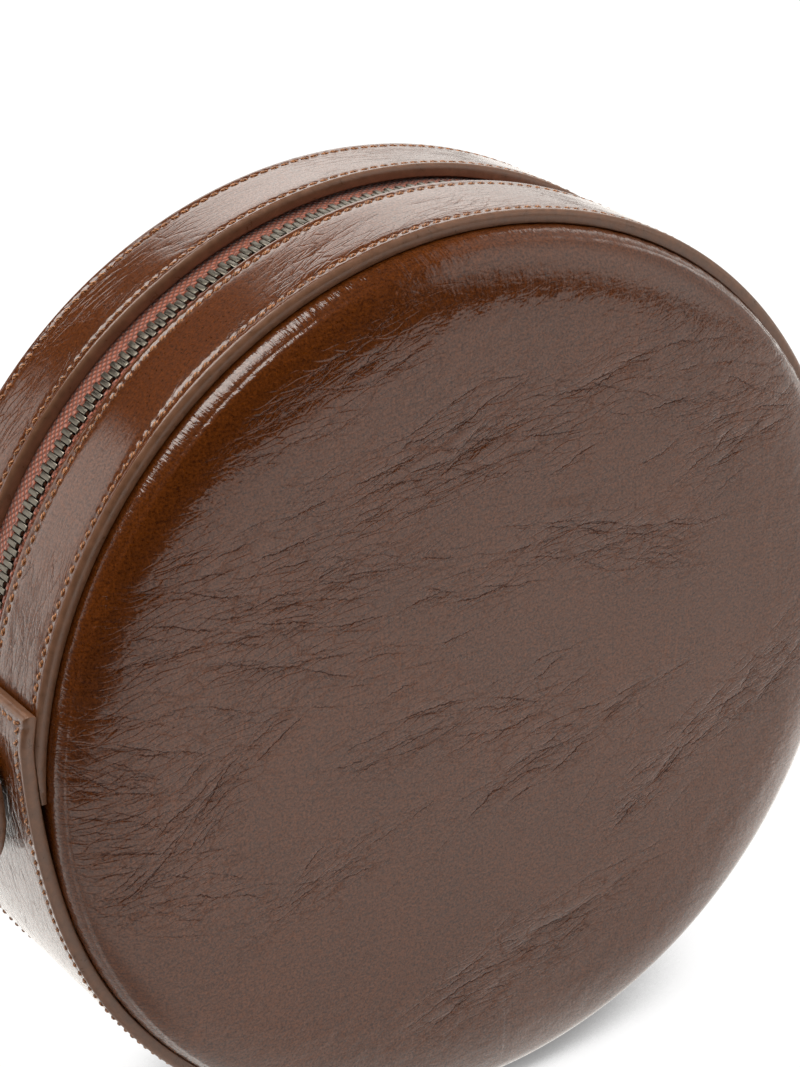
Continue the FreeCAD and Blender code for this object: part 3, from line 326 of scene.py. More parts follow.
def patent_leather(colours):
    """Glossy brown leather: speckled dye under a clear coat, with fine creases and a faint grain."""
    finish = Finish.of_material("patent_leather")
    sheet = finish.flat_pattern()
    drift = finish.vectors("SUBTRACT", finish.noise(sheet, 0.06, 3.0, output="Color"), (0.5, 0.5, 0.5))

    def drawn(length, turn, sway):
        """Place on a flat pattern that is drawn out one way and sways."""
        return finish.vectors("ADD", finish.flat_pattern(length, turn),
                              finish.vectors("MULTIPLY", drift, sway))

    creases, folds = crease_lines(finish, sheet)
    pleats, swags = rim_gathers(finish, sheet)
    patchy = finish.plus(finish.field(WORN, "Fac"), finish.times(finish.noise(sheet, 0.07, 2.0), 0.7))
    web = finish.cells(drawn((6.5, 1.6), 8, (0.9, 3.2, 0)), 1.0)
    wrinkles = finish.times(finish.between(web, 0.0, 0.10, 1.0, 0.0),
                            finish.between(patchy, 0.25, 0.95, 0.15, 1.0))
    hairs = finish.times(finish.lines(drawn((60, 2.6), 84, (0.2, 1.4, 0)), 0.012, 2.0),
                         finish.between(finish.noise(sheet, 0.035, 1.0), 0.52, 0.66))
    grain = finish.noise(sheet, 1.7, 3.0, 0.65)
    relief = finish.bump(folds, -0.045)
    for height, depth in ((creases, -0.06), (wrinkles, -0.034), (pleats, 0.14), (swags, 1.2)):
        relief = finish.bump(height, depth, relief)

    mottle = finish.noise(sheet, 0.05, 3.0, 0.5)
    speckle = finish.noise(sheet, 1.9, 3.0, 0.75)
    blotch = finish.noise(sheet, 0.75, 2.0, 0.6)
    tone = finish.plus(finish.times(mottle, 0.10), finish.times(speckle, 0.68), finish.times(blotch, 0.22))
    # Painted shade: the tone is darkened along the crease lines; the fine hair lines lighten it
    tone = finish.plus(finish.less(tone, finish.times(creases, 0.16)), finish.times(hairs, 0.08))
    dark, light = tuple(colours.leather_dark), tuple(colours.leather_light)
    middle = tuple((low + high) / 2 for low, high in zip(dark, light))
    # The coat breaks in the creases and thins over the fine wrinkles
    broken = finish.plus(finish.times(creases, 0.95), finish.times(wrinkles, 0.28),
                         finish.between(speckle, 0.36, 0.64, 0.30, 0.0))
    finish.surface(
        Base_Color=finish.shades(tone, (0.38, dark), (0.5, middle), (0.62, light)),
        Roughness=finish.between(grain, 0.3, 0.75, 0.26, 0.42), Normal=relief,
        Coat_Normal=finish.bump(grain, 0.016, relief),
        Coat_Weight=finish.math("MAXIMUM", finish.less(1.0, broken), 0.04),
        Coat_Roughness=0.055, Coat_IOR=1.5, IOR=1.5, Specular_IOR_Level=0.12)


def painted_edge(colours):
    """Satin paint over a cut edge, with soft brush marks."""
    finish = Finish.of_material("painted_edge")
    place = finish.place()
    marks = finish.noise(place, 0.5, 4.0, 0.6, 0.4)
    colour = tuple(colours.edge)
    finish.surface(
        Base_Color=finish.shades(marks, (0.3, shade(colour, 0.75)), (0.7, shade(colour, 1.2))),
        Roughness=finish.between(marks, 0.25, 0.75, 0.26, 0.42),
        Normal=finish.bump(finish.noise(place, 0.9, 3.0), 0.05), Specular_IOR_Level=0.5)


def flesh_side(colours):
    """Back of the leather, with its short fibres."""
    finish = Finish.of_material("flesh_side")
    fibres = finish.noise(finish.place(), 2.4, 5.0, 0.7, 0.6)
    colour = shade(tuple(colours.edge), 1.5)
    finish.surface(
        Base_Color=finish.shades(fibres, (0.3, shade(colour, 0.7)), (0.72, colour)), Roughness=0.9,
        Normal=finish.bump(fibres, 0.12), Sheen_Weight=0.3, Specular_IOR_Level=0.3)


def sewing_thread(colours):
    """Twisted polyester thread: its pattern runs along and round each stitch, with painted glints and
    painted shade.
    """
    finish = Finish.of_material("sewing_thread")
    twist = finish.ribs(finish.flat_pattern(), 0.75, 0.6, 1.0)
    wear_and_glints = finish.noise(finish.place(), 0.35, 2.0)
    colour = tuple(colours.thread)
    finish.surface(
        # Painted light: the colour runs from painted shade between the plies to painted glints, over the
        # twist's pattern and the thread's wear
        Base_Color=finish.shades(finish.plus(finish.times(twist, 0.5), finish.times(wear_and_glints, 0.6)),
                                 (0.2, shade(colour, 0.3)), (0.55, colour), (0.9, shade(colour, 1.9))),
        Roughness=0.4, Normal=finish.bump(twist, 0.1), Sheen_Weight=0.25, Specular_IOR_Level=0.4)


def woven_tape(colours):
    """Zip tape in a diagonal weave."""
    finish = Finish.of_material("woven_tape")
    sheet = finish.flat_pattern()
    wander = finish.noise(sheet, 0.8, 2.0)
    weave = finish.times(finish.ribs(sheet, 0.42, 1.0, 1.0),
                         finish.ribs(finish.flat_pattern((1.0, -1.0)), 0.42, 1.0, 1.0))
    colour = tuple(colours.tape)
    finish.surface(
        Base_Color=finish.shades(finish.plus(weave, finish.times(wander, 0.3)),
                                 (0.05, shade(colour, 0.3)), (0.45, colour), (0.95, shade(colour, 1.45))),
        Roughness=0.85, Normal=finish.bump(weave, 0.28), Sheen_Weight=0.4, Specular_IOR_Level=0.25)


def antique_nickel(colours):
    """Darkened nickel, rubbed bright on its edges."""
    finish = Finish.of_material("antique_nickel")
    place = finish.place()
    stain = finish.noise(place, 0.9, 4.0, 0.65)
    rub = finish.node("ShaderNodeNewGeometry").outputs["Pointiness"]
    tone = finish.plus(finish.times(stain, 0.5), finish.between(rub, 0.47, 0.58, 0.0, 0.6))
    scratches = finish.noise(finish.vectors("MULTIPLY", place, (9.0, 0.8, 3.0)), 0.8, 3.0)
    colour = tuple(colours.metal)
    finish.surface(
        Base_Color=finish.shades(tone, (0.15, shade(colour, 0.35)), (0.5, colour),
                                 (0.9, shade(colour, 1.6))),
        Metallic=1.0, Roughness=finish.between(scratches, 0.3, 0.7, 0.26, 0.42),
        Normal=finish.bump(scratches, 0.02))


def twill_lining(colours):
    """Brown twill."""
    finish = Finish.of_material("twill_lining")
    ribs = finish.ribs(finish.place(), 0.5, 0.8, 2.0)
    colour = tuple(colours.lining)
    finish.surface(
        Base_Color=finish.shades(ribs, (0.1, shade(colour, 0.6)), (0.8, colour)), Roughness=0.9,
        Normal=finish.bump(ribs, 0.12), Sheen_Weight=0.3, Specular_IOR_Level=0.25)


def crumbly(name, colour):
    """Crumbly pale filling, for the padding and the boards."""
    finish = Finish.of_material(name)
    pores = finish.cells(finish.place(), 0.8)
    finish.surface(
        Base_Color=finish.shades(pores, (0.0, shade(colour, 0.6)), (0.3, colour)), Roughness=0.95,
        Normal=finish.bump(pores, 0.3), Specular_IOR_Level=0.2)


def finishes(context):
    """The bag's materials, made once."""
    if "patent_leather" in bpy.data.materials:
        return
    for make in (patent_leather, painted_edge, flesh_side, sewing_thread, woven_tape, antique_nickel,
                 twill_lining):
        make(context.scene.bag_colours)
    crumbly("padding_foam", (0.62, 0.57, 0.46))
    crumbly("fibre_board", (0.30, 0.20, 0.12))


def drum(radius, angle, depth):
    """Points of the round wall at a radius, an angle in degrees and a depth along Y."""
    turn = np.radians(angle)
    return np.stack(np.broadcast_arrays(radius * np.cos(turn), depth, MIDDLE + radius * np.sin(turn)), -1)


SHARP = math.radians(50)


def make_piece(name, points, faces, uv, materials, body, nodes=(), fields=None, shows=None):
    """Mesh object of points in millimetres that rides on a body and stands for nodes.

    Fields are named values at its points, one or three each. Shows has the number of each
    face's material, where it has more than one.
    """
    mesh = bpy.data.meshes.new(name)
    mesh.from_pydata((np.asarray(points) * MM).tolist(), [], faces)
    for material in materials:
        mesh.materials.append(bpy.data.materials[material])
    if shows is not None:
        mesh.polygons.foreach_set("material_index", np.asarray(shows, np.int32))
    corners = np.empty(len(mesh.loops), np.int32)
    mesh.loops.foreach_get("vertex_index", corners)
    layer = mesh.uv_layers.new(name=SHEET)
    layer.data.foreach_set("uv", (np.asarray(uv)[corners] * MM).astype(np.float32).ravel())
    for field, values in (fields or {}).items():
        values = np.asarray(values, np.float32)
        kind, key = ("FLOAT", "value") if values.ndim == 1 else ("FLOAT_VECTOR", "vector")
        mesh.attributes.new(field, kind, "POINT").data.foreach_set(key, values.ravel())
    shell = bmesh.new()
    shell.from_mesh(mesh)
    bmesh.ops.recalc_face_normals(shell, faces=shell.faces)
    shell.to_mesh(mesh)
    shell.free()
    mesh.shade_smooth()
    mesh.set_sharp_from_angle(angle=SHARP)
    piece = bpy.data.objects.new(name, mesh)
    bpy.context.scene.collection.objects.link(piece)
    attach(piece, body)
    if nodes:
        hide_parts(*nodes)
    return piece


def net(rows, columns):
    """Faces of a net of points."""
    index = np.arange(rows * columns).reshape(rows, columns)
    return np.stack([index[:-1, :-1], index[:-1, 1:], index[1:, 1:], index[1:, :-1]], -1).reshape(-1, 4)


def loft(rings):
    """Faces through rings of points, with a cap at each end."""
    count, around = rings.shape[:2]
    index = np.arange(count * around).reshape(count, around)
    here, there = index[:-1], index[1:]
    quads = np.stack([here, np.roll(here, -1, 1), np.roll(there, -1, 1), there], -1).reshape(-1, 4)
    return quads.tolist() + [index[0][::-1].tolist(), index[-1].tolist()]


def flat_places(s, across):
    """Places on the flat pattern of a net of points."""
    return np.stack(np.broadcast_arrays(s, across), -1).reshape(-1, 2)


def leather_strip(name, rings, uv, shows, body, fields):
    """Strip of leather through its rings of points, with paint over both ends."""
    make_piece(f"{name}_leather", rings.reshape(-1, 3), loft(rings), uv, LEATHER_SIDES,
               body, (name,), fields, np.concatenate([np.ravel(shows), [EDGE, EDGE]]))


def refinish(name, material):
    """Node of the frame that stays as it is, in another material."""
    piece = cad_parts[name]
    piece.data.materials.clear()
    piece.data.materials.append(bpy.data.materials[material])
    return piece


class Relief:
    """Height of the leather over its flat pattern, in millimetres."""

    STEP = 0.25

    def __init__(self, low, high):
        self.low = np.array(low, float)
        self.high = np.array(high, float)
        across, along = np.ceil((self.high - self.low) / self.STEP).astype(int) + 1
        self.height = np.zeros((along, across))

    def crease(self, points, depth):
        """Draws a line of small dents through points."""
        cells = np.rint((points - self.low) / self.STEP).astype(int)
        inside = ((cells >= 0) & (cells < self.height.shape[::-1])).all(1)
        np.add.at(self.height, (cells[inside, 1], cells[inside, 0]), -depth[inside])

    def softened(self, width):
        """The same dents spread to grooves of that half width."""
        reach = int(4 * width / self.STEP)
        bell = np.exp(-0.5 * (np.arange(-reach, reach + 1) * self.STEP / width) ** 2)
        spread = Relief(self.low, self.high)
        spread.height = self.height
        for axis in (0, 1):
            spread.height = np.apply_along_axis(np.convolve, axis, spread.height, bell / bell.sum(), "same")
        spread.height = spread.height * math.sqrt(2 * math.pi) * width / self.STEP
        return spread

    def at(self, u, v):
        """Height at places of the pattern, between the nearest four points."""
        x = np.clip((u - self.low[0]) / self.STEP, 0, self.height.shape[1] - 1.001)
        y = np.clip((v - self.low[1]) / self.STEP, 0, self.height.shape[0] - 1.001)
        i, j = x.astype(int), y.astype(int)
        x, y = x - i, y - j
        h = self.height
        low = h[j, i] * (1 - x) + h[j, i + 1] * x
        high = h[j + 1, i] * (1 - x) + h[j + 1, i + 1] * x
        return low * (1 - y) + high * y


def wandering_line(rng, start, heading, length, wander):
    """Line from a start that turns gently to both sides, with a weight that fades at its ends."""
    wave_length, breaks = 60, (8, 22)
    along = np.arange(0, length, Relief.STEP)
    turn = np.zeros_like(along)
    for wave in (1, 2, 5, 11, 19):
        turn += rng.normal(0, wander / wave ** 0.25) * np.sin(
            2 * math.pi * wave * along / wave_length + rng.uniform(0, 2 * math.pi))
    steps = np.stack([np.cos(heading + turn), np.sin(heading + turn)], -1) * Relief.STEP
    fade = np.sin(math.pi * np.clip(along / length, 0, 1)) ** 0.6
    broken = 0.8 + np.sin(2 * math.pi * along / rng.uniform(*breaks) + rng.uniform(0, 6))
    return np.array(start) + np.cumsum(steps, 0), fade * np.clip(broken, 0.3, 1)


class Creasing:
    """Bundles of creases over a pattern: their strands, soft folds, and how worn the leather is there."""

    NEAR, FAR = 1.1, 9.0
    LEAN, WANDER, FAINTEST = 0.13, 0.16, 0.25
    WEAR_WIDTH, WEAR_FULL = 4.5, 0.6

    def __init__(self, rng, low, high, bundles, depth, width, length=(8, 46), fade=None, most=1.0):
        lines = Relief(low, high)
        self.strands = []
        for first, last, spread, count in bundles:
            run = np.subtract(last, first)
            heading = math.atan2(run[1], run[0])
            aside = np.array([-math.sin(heading), math.cos(heading)])
            for _ in range(count):
                reach = rng.uniform(*length)
                middle = np.array(first) + run * rng.uniform(0, 1) + aside * rng.normal(0, spread)
                lean = heading + rng.normal(0, self.LEAN)
                start = middle - reach / 2 * np.array([math.cos(lean), math.sin(lean)])
                points, weight = wandering_line(rng, start, lean, reach, self.WANDER)
                weight = weight * (self.FAINTEST + (1 - self.FAINTEST) * rng.uniform() ** 1.3) * most
                if fade:
                    weight = weight * fade(points)
                lines.crease(points, weight * depth)
                self.strands.append((points, weight))
        self.folds = lines.softened(width)
        self.around = lines.softened(self.WEAR_WIDTH)
        self.most = max(-self.around.height.min() * self.WEAR_FULL, 1e-6)

    def height(self, u, v):
        return self.folds.at(u, v)

    def fields(self, uv, least=0.0):
        """Values for the leather's surface: its wear, and layers of distances to the creases."""
        u, v = uv.T
        worn = least + (1 - least) * np.clip(-self.around.at(u, v) / self.most, 0, 1)
        layers = [np.tile((self.FAR, 0.0, 0.0), (u.size, 1)) for _ in range(CREASE_LAYERS)]
        for points, weight in self.strands:
            low, high = points.min(0) - self.NEAR, points.max(0) + self.NEAR
            near = np.flatnonzero((u > low[0]) & (u < high[0]) & (v > low[1]) & (v < high[1]))
            if not near.size:
                continue
            gap = np.stack([u[near], v[near]], -1)[:, None] - points[None]
            nearest = np.hypot(gap[..., 0], gap[..., 1]).argmin(1)
            gap = gap[np.arange(near.size), nearest]
            ahead = np.gradient(points, axis=0)[nearest]
            away = np.hypot(gap[:, 0], gap[:, 1])
            side = np.where(ahead[:, 0] * gap[:, 1] > ahead[:, 1] * gap[:, 0], 1, -1)
            close = away < self.NEAR
            entry = np.stack([away * side, weight[nearest], 0 * away], -1)[close]
            for layer in layers:
                if (layer[near[close], 0] == self.FAR).all():
                    layer[near[close]] = entry
                    break
        return {WORN: worn, **{f"{CREASE}_{number}": layer for number, layer in enumerate(layers)}}


def soft_swell(rng, u, v, length, height):
    """Slow swell of a padded surface, as a sum of a few waves."""
    total = np.zeros(np.broadcast(u, v).shape)
    waves = 9
    for _ in range(waves):
        heading = rng.uniform(0, math.pi)
        wave = length * rng.uniform(0.6, 1.6)
        total += np.sin(2 * math.pi * (u * math.cos(heading) + v * math.sin(heading)) / wave
                        + rng.uniform(0, 2 * math.pi))
    return total * height / math.sqrt(waves)


def even_disc(count):
    """Square net of points drawn out to a unit disc, with faces of even size."""
    across, up = np.meshgrid(np.linspace(-1, 1, count + 1), np.linspace(-1, 1, count + 1))
    wide = np.abs(across) >= np.abs(up)
    reach = np.where(wide, across, up)
    other = np.where(wide, up, across)
    turn = math.pi / 4 * np.divide(other, reach, out=np.zeros_like(other), where=reach != 0)
    turn = np.where(wide, turn, math.pi / 2 - turn)
    return reach * np.cos(turn), reach * np.sin(turn)


def panel_section(along, inset=0.0):
    """Radius and depth of a padded panel at a length along its section from the middle."""
    shoulder_depth = CREST - SHOULDER_RADIUS
    roll_centre = PANEL_EDGE - ROLL_RADIUS
    shoulder_centre = roll_centre - math.sqrt(
        (SHOULDER_RADIUS - ROLL_RADIUS) ** 2 - (ROLL_HEIGHT - shoulder_depth) ** 2)
    bend = math.atan2(roll_centre - shoulder_centre, ROLL_HEIGHT - shoulder_depth)
    shoulder_end = shoulder_centre + SHOULDER_RADIUS * bend
    roll_end = shoulder_end + ROLL_RADIUS * (math.pi / 2 - bend)
    turn = np.clip((along - shoulder_centre) / SHOULDER_RADIUS, 0, bend)
    turn = turn + np.clip((along - shoulder_end) / ROLL_RADIUS, 0, math.pi / 2 - bend)
    on_shoulder = along < shoulder_end
    centre_radius = np.where(on_shoulder, shoulder_centre, roll_centre)
    centre_depth = np.where(on_shoulder, shoulder_depth, ROLL_HEIGHT)
    bow = np.where(on_shoulder, SHOULDER_RADIUS, ROLL_RADIUS) - inset
    radius = np.where(along < shoulder_centre, along, centre_radius + bow * np.sin(turn))
    depth = np.where(along < shoulder_centre, CREST - inset, centre_depth + bow * np.cos(turn))
    depth = depth - np.clip(along - roll_end, 0, None)
    return radius, depth, roll_end


PANEL_FOLD_WIDTH, PANEL_SWELL_LENGTH, PANEL_SWELL, PANEL_SINK = 1.0, 60, 0.10, 0.2
PUCKER, SHOULDER_GATHERS = 0.05, 0.24
CREASE_STOP, CREASE_FADE, FACE_STOP, FACE_FADE = 3, 9, 7, 12

# Rings of the panel's underside: back from the end of its roll, and near its middle
UNDER_STEPS, UNDER_MIDDLE = (0, 4, 9, 16, 23, 32), (40, 4)

# Bundles of creases on a panel: from one place of its pattern to another, spread and strands
PANEL_CREASES = [
    ((-83, 44), (-36, 34), 4.0, 27), ((-36, 35), (53, 17), 4.0, 36), ((-85, 33), (-36, 26), 3.5, 21),
    ((-62, 48), (28, 58), 5.0, 48), ((26, 56), (68, 48), 4.0, 14), ((-80, -14), (-51, 6), 2.2, 17),
    ((-90, -14), (-61, -22), 3.0, 14), ((-92, 16), (-76, 9), 4.0, 24), ((-92, 1), (-74, -1), 4.5, 28),
    ((-31, -5), (11, -3), 3.5, 17), ((33, -35), (73, -11), 4.5, 24), ((-4, -20), (35, -12), 3.0, 17),
    ((-14, -61), (32, -54), 4.5, 21), ((-13, -68), (25, -57), 3.5, 17), ((-46, -29), (-6, -19), 3.0, 17),
    ((-51, 68), (-14, 80), 4.5, 21), ((44, 33), (68, 41), 3.5, 11), ((-66, 20), (-20, 12), 5.0, 14),
]


def padded_panel(name, side, seed, sizes):
    """Leather disc drawn over its padding, with creases, and turned in behind the gusset."""
    rng = np.random.default_rng(seed)
    _, _, roll_end = panel_section(np.array(0.0))
    reach = roll_end + FLANGE
    across, up = even_disc(PANEL_NET)
    u, v = across * reach, up * reach
    along = np.hypot(u, v)
    radius, depth, _ = panel_section(along)

    def inside(points):
        return np.clip((roll_end - CREASE_STOP - np.hypot(*points.T)) / CREASE_FADE, 0, 1)

    creases = Creasing(rng, (-PATTERN_REACH, -PATTERN_REACH), (PATTERN_REACH, PATTERN_REACH), PANEL_CREASES,
                       sizes.crease_depth / MM, PANEL_FOLD_WIDTH, fade=inside)
    face = np.clip((roll_end - FACE_STOP - along) / FACE_FADE, 0, 1)
    height = creases.height(u, v)
    height += soft_swell(rng, u, v, PANEL_SWELL_LENGTH, PANEL_SWELL) * face - PANEL_SINK * face
    turn = np.arctan2(v, u)
    pucker = np.sin(turn * 118 + 3 * np.sin(turn * 7)) * np.sin(turn * 41 + 1.3)
    height += PUCKER * pucker * np.exp(-((along - roll_end + 2) / 3) ** 2)
    # The relief moves points along the section's own normal
    step = 0.01
    nose_radius, nose_depth, _ = panel_section(along, inset=-step)
    radius = radius + height * (nose_radius - radius) / step
    depth = depth + height * (nose_depth - depth) / step
    outer = np.stack([radius * np.cos(turn), -side * depth, MIDDLE + radius * np.sin(turn)], -1)
    grid = np.arange(u.size).reshape(u.shape)
    quads = net(*u.shape)

    rim = np.concatenate([grid[0, :-1], grid[:-1, -1], grid[-1, :0:-1], grid[:0:-1, 0]])
    rim_turn = turn.ravel()[rim]
    inner, faces = [], quads.tolist()
    last = rim
    for station in (reach, *(roll_end - back for back in UNDER_STEPS), *UNDER_MIDDLE):
        ring_radius, ring_depth, _ = panel_section(np.array(station), inset=PANEL_LEATHER)
        inner.append(np.stack([ring_radius * np.cos(rim_turn), np.full(len(rim), -side * ring_depth),
                               MIDDLE + ring_radius * np.sin(rim_turn)], -1))
        ring = grid.size + np.arange(len(rim)) + len(rim) * (len(inner) - 1)
        faces += np.stack([last, np.roll(last, -1), np.roll(ring, -1), ring], -1).tolist()
        last = ring
    faces.append(last.tolist())
    points = np.concatenate([outer.reshape(-1, 3), *inner])
    face_uv = flat_places(u, v)
    uv = np.concatenate([face_uv] + [face_uv[rim]] * len(inner))
    shows = np.concatenate([np.zeros(len(quads)), np.ones(len(faces) - len(quads))])
    fields = creases.fields(uv)
    out = np.hypot(uv[:, 0], uv[:, 1])
    gathered = np.exp(-((out - roll_end + 1) / 4) ** 2)
    gathered += SHOULDER_GATHERS * np.exp(-((out - roll_end + 21) / 11) ** 4)
    fields[RIM] = np.stack([np.arctan2(uv[:, 0], uv[:, 1]) * PANEL_EDGE, gathered, out], -1)
    piece = make_piece(f"{name}_leather", points, faces, uv, ("patent_leather", "flesh_side"),
                       "bag", (name,), fields, shows)


CORNER, UNDER_CORNER = 1.15, 0.4
STRAP_CORNER, STRAP_UNDER = 0.8, 0.1
SEAM_WELL, SEAM_WELL_HALF = 0.05, 0.52
PINCH, PINCH_HALF = 0.20, 0.7
BROAD, NARROW_PUFF = 6.0, 0.08


def slab_section(width, thickness, spacing, corner=CORNER, under_corner=UNDER_CORNER):
    """Closed outline of a strip with rounded edges, as (across, height), and what each side shows.

    It starts at the top of the near edge, crosses the face, and comes back underneath.
    """
    steps = np.linspace(0, math.pi / 2, 8)
    near = np.stack([corner - corner * np.cos(steps), corner * np.sin(steps) - corner], -1)
    face = np.linspace(corner, width - corner, max(3, int((width - 2 * corner) / spacing)))[1:-1]
    top = np.stack([face, np.zeros_like(face)], -1)
    far = np.stack([width - near[::-1, 0], near[::-1, 1]], -1)
    curl = under_corner * np.sin(steps[1:-1]), under_corner * np.cos(steps[1:-1])
    under_far = np.stack([width - under_corner + curl[1], under_corner - curl[0] - thickness], -1)
    back = np.linspace(width - under_corner, under_corner, 7)
    under = np.stack([back, np.full_like(back, -thickness)], -1)
    under_near = np.stack([under_corner - curl[0], under_corner - curl[1] - thickness], -1)
    outline = np.concatenate([near, top, far, under_far, under, under_near])
    kind = np.full(len(outline), EDGE)
    kind[len(near) - 2:len(near) + len(top) + 1] = FACE
    start = len(near) + len(top) + len(far) + len(under_far)
    kind[start:start + len(under) - 1] = BACK
    return outline, kind


def seam_relief(s, v, rows, width, sizes):
    """Height of a sewn strip: sunk along its stitches, pinched at each hole, and full between."""
    pitch = sizes.stitch_pitch / MM
    height = np.zeros(np.broadcast(s, v).shape)
    for row in rows:
        away = np.abs(v - row)
        height -= SEAM_WELL / (1 + (away / SEAM_WELL_HALF) ** 6)
        at_hole = 0.5 + 0.5 * np.cos(2 * math.pi * s / pitch)
        height -= PINCH * np.exp(-(away / PINCH_HALF) ** 2) * at_hole
    bounds = sorted([0.0, *rows, width])
    for low, high in zip(bounds, bounds[1:]):
        share = np.clip(np.minimum(v - low, high - v) / min(3.0, (high - low) / 2), 0, 1)
        swell = sizes.puff / MM if high - low > BROAD else NARROW_PUFF
        height += swell * (1 - (1 - share) ** 2)
    return height


THREAD_SIDES, STITCH_LEVELS = 6, 6
STRAY_ALONG, STRAY_ASIDE, SLANT, SLANT_SPREAD = 0.07, 0.06, 7, 6


def stitches(name, at, line, sizes, body, closed=False):
    """Row of stitches along a line of (s, v) places of a strip, a piece of its own."""
    line = np.asarray(line, float)
    if closed:
        line = np.concatenate([line, line[:1]])
    run = np.concatenate([[0], np.cumsum(np.hypot(*np.diff(line, axis=0).T))])
    count = int(run[-1] // (sizes.stitch_pitch / MM))
    middles = (np.arange(count) + 0.5) * run[-1] / count
    half, thick = sizes.stitch_length / MM / 2, sizes.thread_radius / MM
    rng = np.random.default_rng(len(name) + count)

    def along(where):
        s = np.interp(where, run, line[:, 0])
        v = np.interp(where, run, line[:, 1])
        return s, v

    points, faces, uv = [], [], []
    turns = np.linspace(0, 2 * math.pi, THREAD_SIDES + 1)[:-1]
    shares = np.linspace(-1, 1, STITCH_LEVELS)
    s, v = along(middles + rng.normal(0, STRAY_ALONG, count))
    v = v + rng.normal(0, STRAY_ASIDE, count)
    ahead = np.stack(along(middles + 0.05), -1) - np.stack(along(middles - 0.05), -1)
    ahead /= np.linalg.norm(ahead, axis=1)[:, None]
    slant = np.radians(SLANT + rng.normal(0, SLANT_SPREAD, count))
    for share in shares:
        ds = half * share * (ahead[:, 0] * np.cos(slant) - ahead[:, 1] * np.sin(slant))
        dv = half * share * (ahead[:, 0] * np.sin(slant) + ahead[:, 1] * np.cos(slant))
        # A stitch arches out of its holes and thins towards them
        lift = thick * (1.25 * (1 - share ** 2) ** 0.7 - 0.9)
        round_here = thick * math.sqrt(1.08 - share ** 2)
        centre_s, centre_v = s + ds, v + dv
        for turn in turns:
            side = round_here * math.cos(turn) * 1.1
            height = lift + round_here * math.sin(turn)
            points.append(at(centre_s - side * ahead[:, 1], centre_v + side * ahead[:, 0], height))
            uv.append(np.stack([np.full(count, half * share), np.full(count, thick * turn)], -1))
    ring, levels = len(turns), len(shares)
    points = np.stack(points, 1)
    for number in range(count):
        base = number * ring * levels
        for level in range(levels - 1):
            for k in range(ring):
                low, high = base + level * ring, base + (level + 1) * ring
                faces.append((low + k, low + (k + 1) % ring, high + (k + 1) % ring, high + k))
        faces.append(tuple(base + k for k in range(ring)))
        faces.append(tuple(base + (levels - 1) * ring + k for k in reversed(range(ring))))
    uv = np.stack(uv, 1).reshape(-1, 2)
    make_piece(name, points.reshape(-1, 3), faces, uv, ("sewing_thread",), body)


def strip_creases(rng, length, width, amount):
    """Bundles of creases scattered over a long strip."""
    bundles = []
    clear, spread, strands = 3, 2.5, (4, 9)
    for _ in range(amount):
        middle = np.array([rng.uniform(0, length), rng.uniform(clear, width - clear)])
        half = np.array([rng.uniform(4, 10), rng.uniform(-1, 5)])
        bundles.append((middle - half, middle + half, spread, int(rng.integers(*strands))))
    return bundles


class BAG_OT_panels(bpy.types.Operator):
    """Build the padded front and back panels"""

    bl_idname = "bag.panels"
    bl_label = "Padded panels"

    def execute(self, context):
        finishes(context)
        sizes = context.scene.bag_sizes
        padded_panel("front_panel", 1, sizes.seed, sizes)
        padded_panel("back_panel", -1, sizes.seed + 1, sizes)
        return {"FINISHED"}


class BAG_OT_zip_gussets(bpy.types.Operator):
    """Build the two leather strips beside the zip, with their stitches"""

    bl_idname = "bag.zip_gussets"
    bl_label = "Zip gussets"

    def execute(self, context):
        finishes(context)
        sizes = context.scene.bag_sizes
        width = HALF_WIDTH - ZIP_EDGE
        first, last = TUCKED_ENDS
        length = math.radians(last - first) * BAG_RADIUS
        rows = (sizes.seam_inset / MM, width - sizes.seam_inset / MM)
        for name, side in (("front_zip_gusset", -1), ("back_zip_gusset", 1)):
            rng = np.random.default_rng(sizes.seed + 20 + side)
            bundles = strip_creases(rng, length, width, 30)
            creases = Creasing(rng, (0, 0), (length, width), bundles, depth=0.05, width=0.8,
                               length=(4, 13), most=0.6)
            swell = rng.integers(1 << 30)

            def height(s, v):
                waves = soft_swell(np.random.default_rng(swell), s, v, length=40, height=0.05)
                inside = np.clip(np.minimum(v - 1, width - 1 - v) / 2, 0, 1)
                return seam_relief(s, v, rows, width, sizes) + (creases.height(s, v) + waves) * inside

            def at(s, v, lift, side=side):
                angle = first + np.degrees(s / BAG_RADIUS)
                # The strips ride up at the top of the bag, and part towards the ends of the zip
                high = np.exp(-((angle - RIDE_MIDDLE) / RIDE_SPREAD) ** 2)
                over = np.clip(1 - v / width, 0, 1) ** 1.5
                lift = lift + (RIDE_ENDS + (RIDE_TOP - RIDE_ENDS) * high) * over
                lean = FRONT_LEAN if side < 0 else BACK_LEAN_ENDS + (BACK_LEAN - BACK_LEAN_ENDS) * high
                lapped = base_radius(np.where(angle < 90, angle + 360, angle))
                room = lapped - BAG_RADIUS - WALL - LAYER_GAP
                covered = np.minimum(angle, 180 - angle) < LAP_TOP
                lift = np.where(covered, np.minimum(lift, room), lift)
                return drum(BAG_RADIUS + lift, angle, side * (ZIP_EDGE + v - lean * over))

            def sewn(s, v, lift):
                return at(s, v, lift + height(s, v))

            outline, kind = slab_section(width, WALL, spacing=0.30)
            s = np.linspace(0, length, int(length / 0.5))[:, None]
            across, lift = outline[:, 0][None, :], outline[:, 1][None, :]
            top = lift > -CORNER
            rings = at(s, across, lift + np.where(top, height(s, across), 0))
            uv = flat_places(s, across)
            leather_strip(name, rings, uv, np.tile(kind, len(rings) - 1), "bag", creases.fields(uv))
            tucked = math.radians(LAP_TOP - first) * BAG_RADIUS + 1
            ends = np.array([tucked, length - tucked])
            for label, row in zip(("zip", "rim"), rows):
                stitches(f"{name}_{label}_stitches", sewn, [(end, row) for end in ends], sizes, "bag")
        return {"FINISHED"}


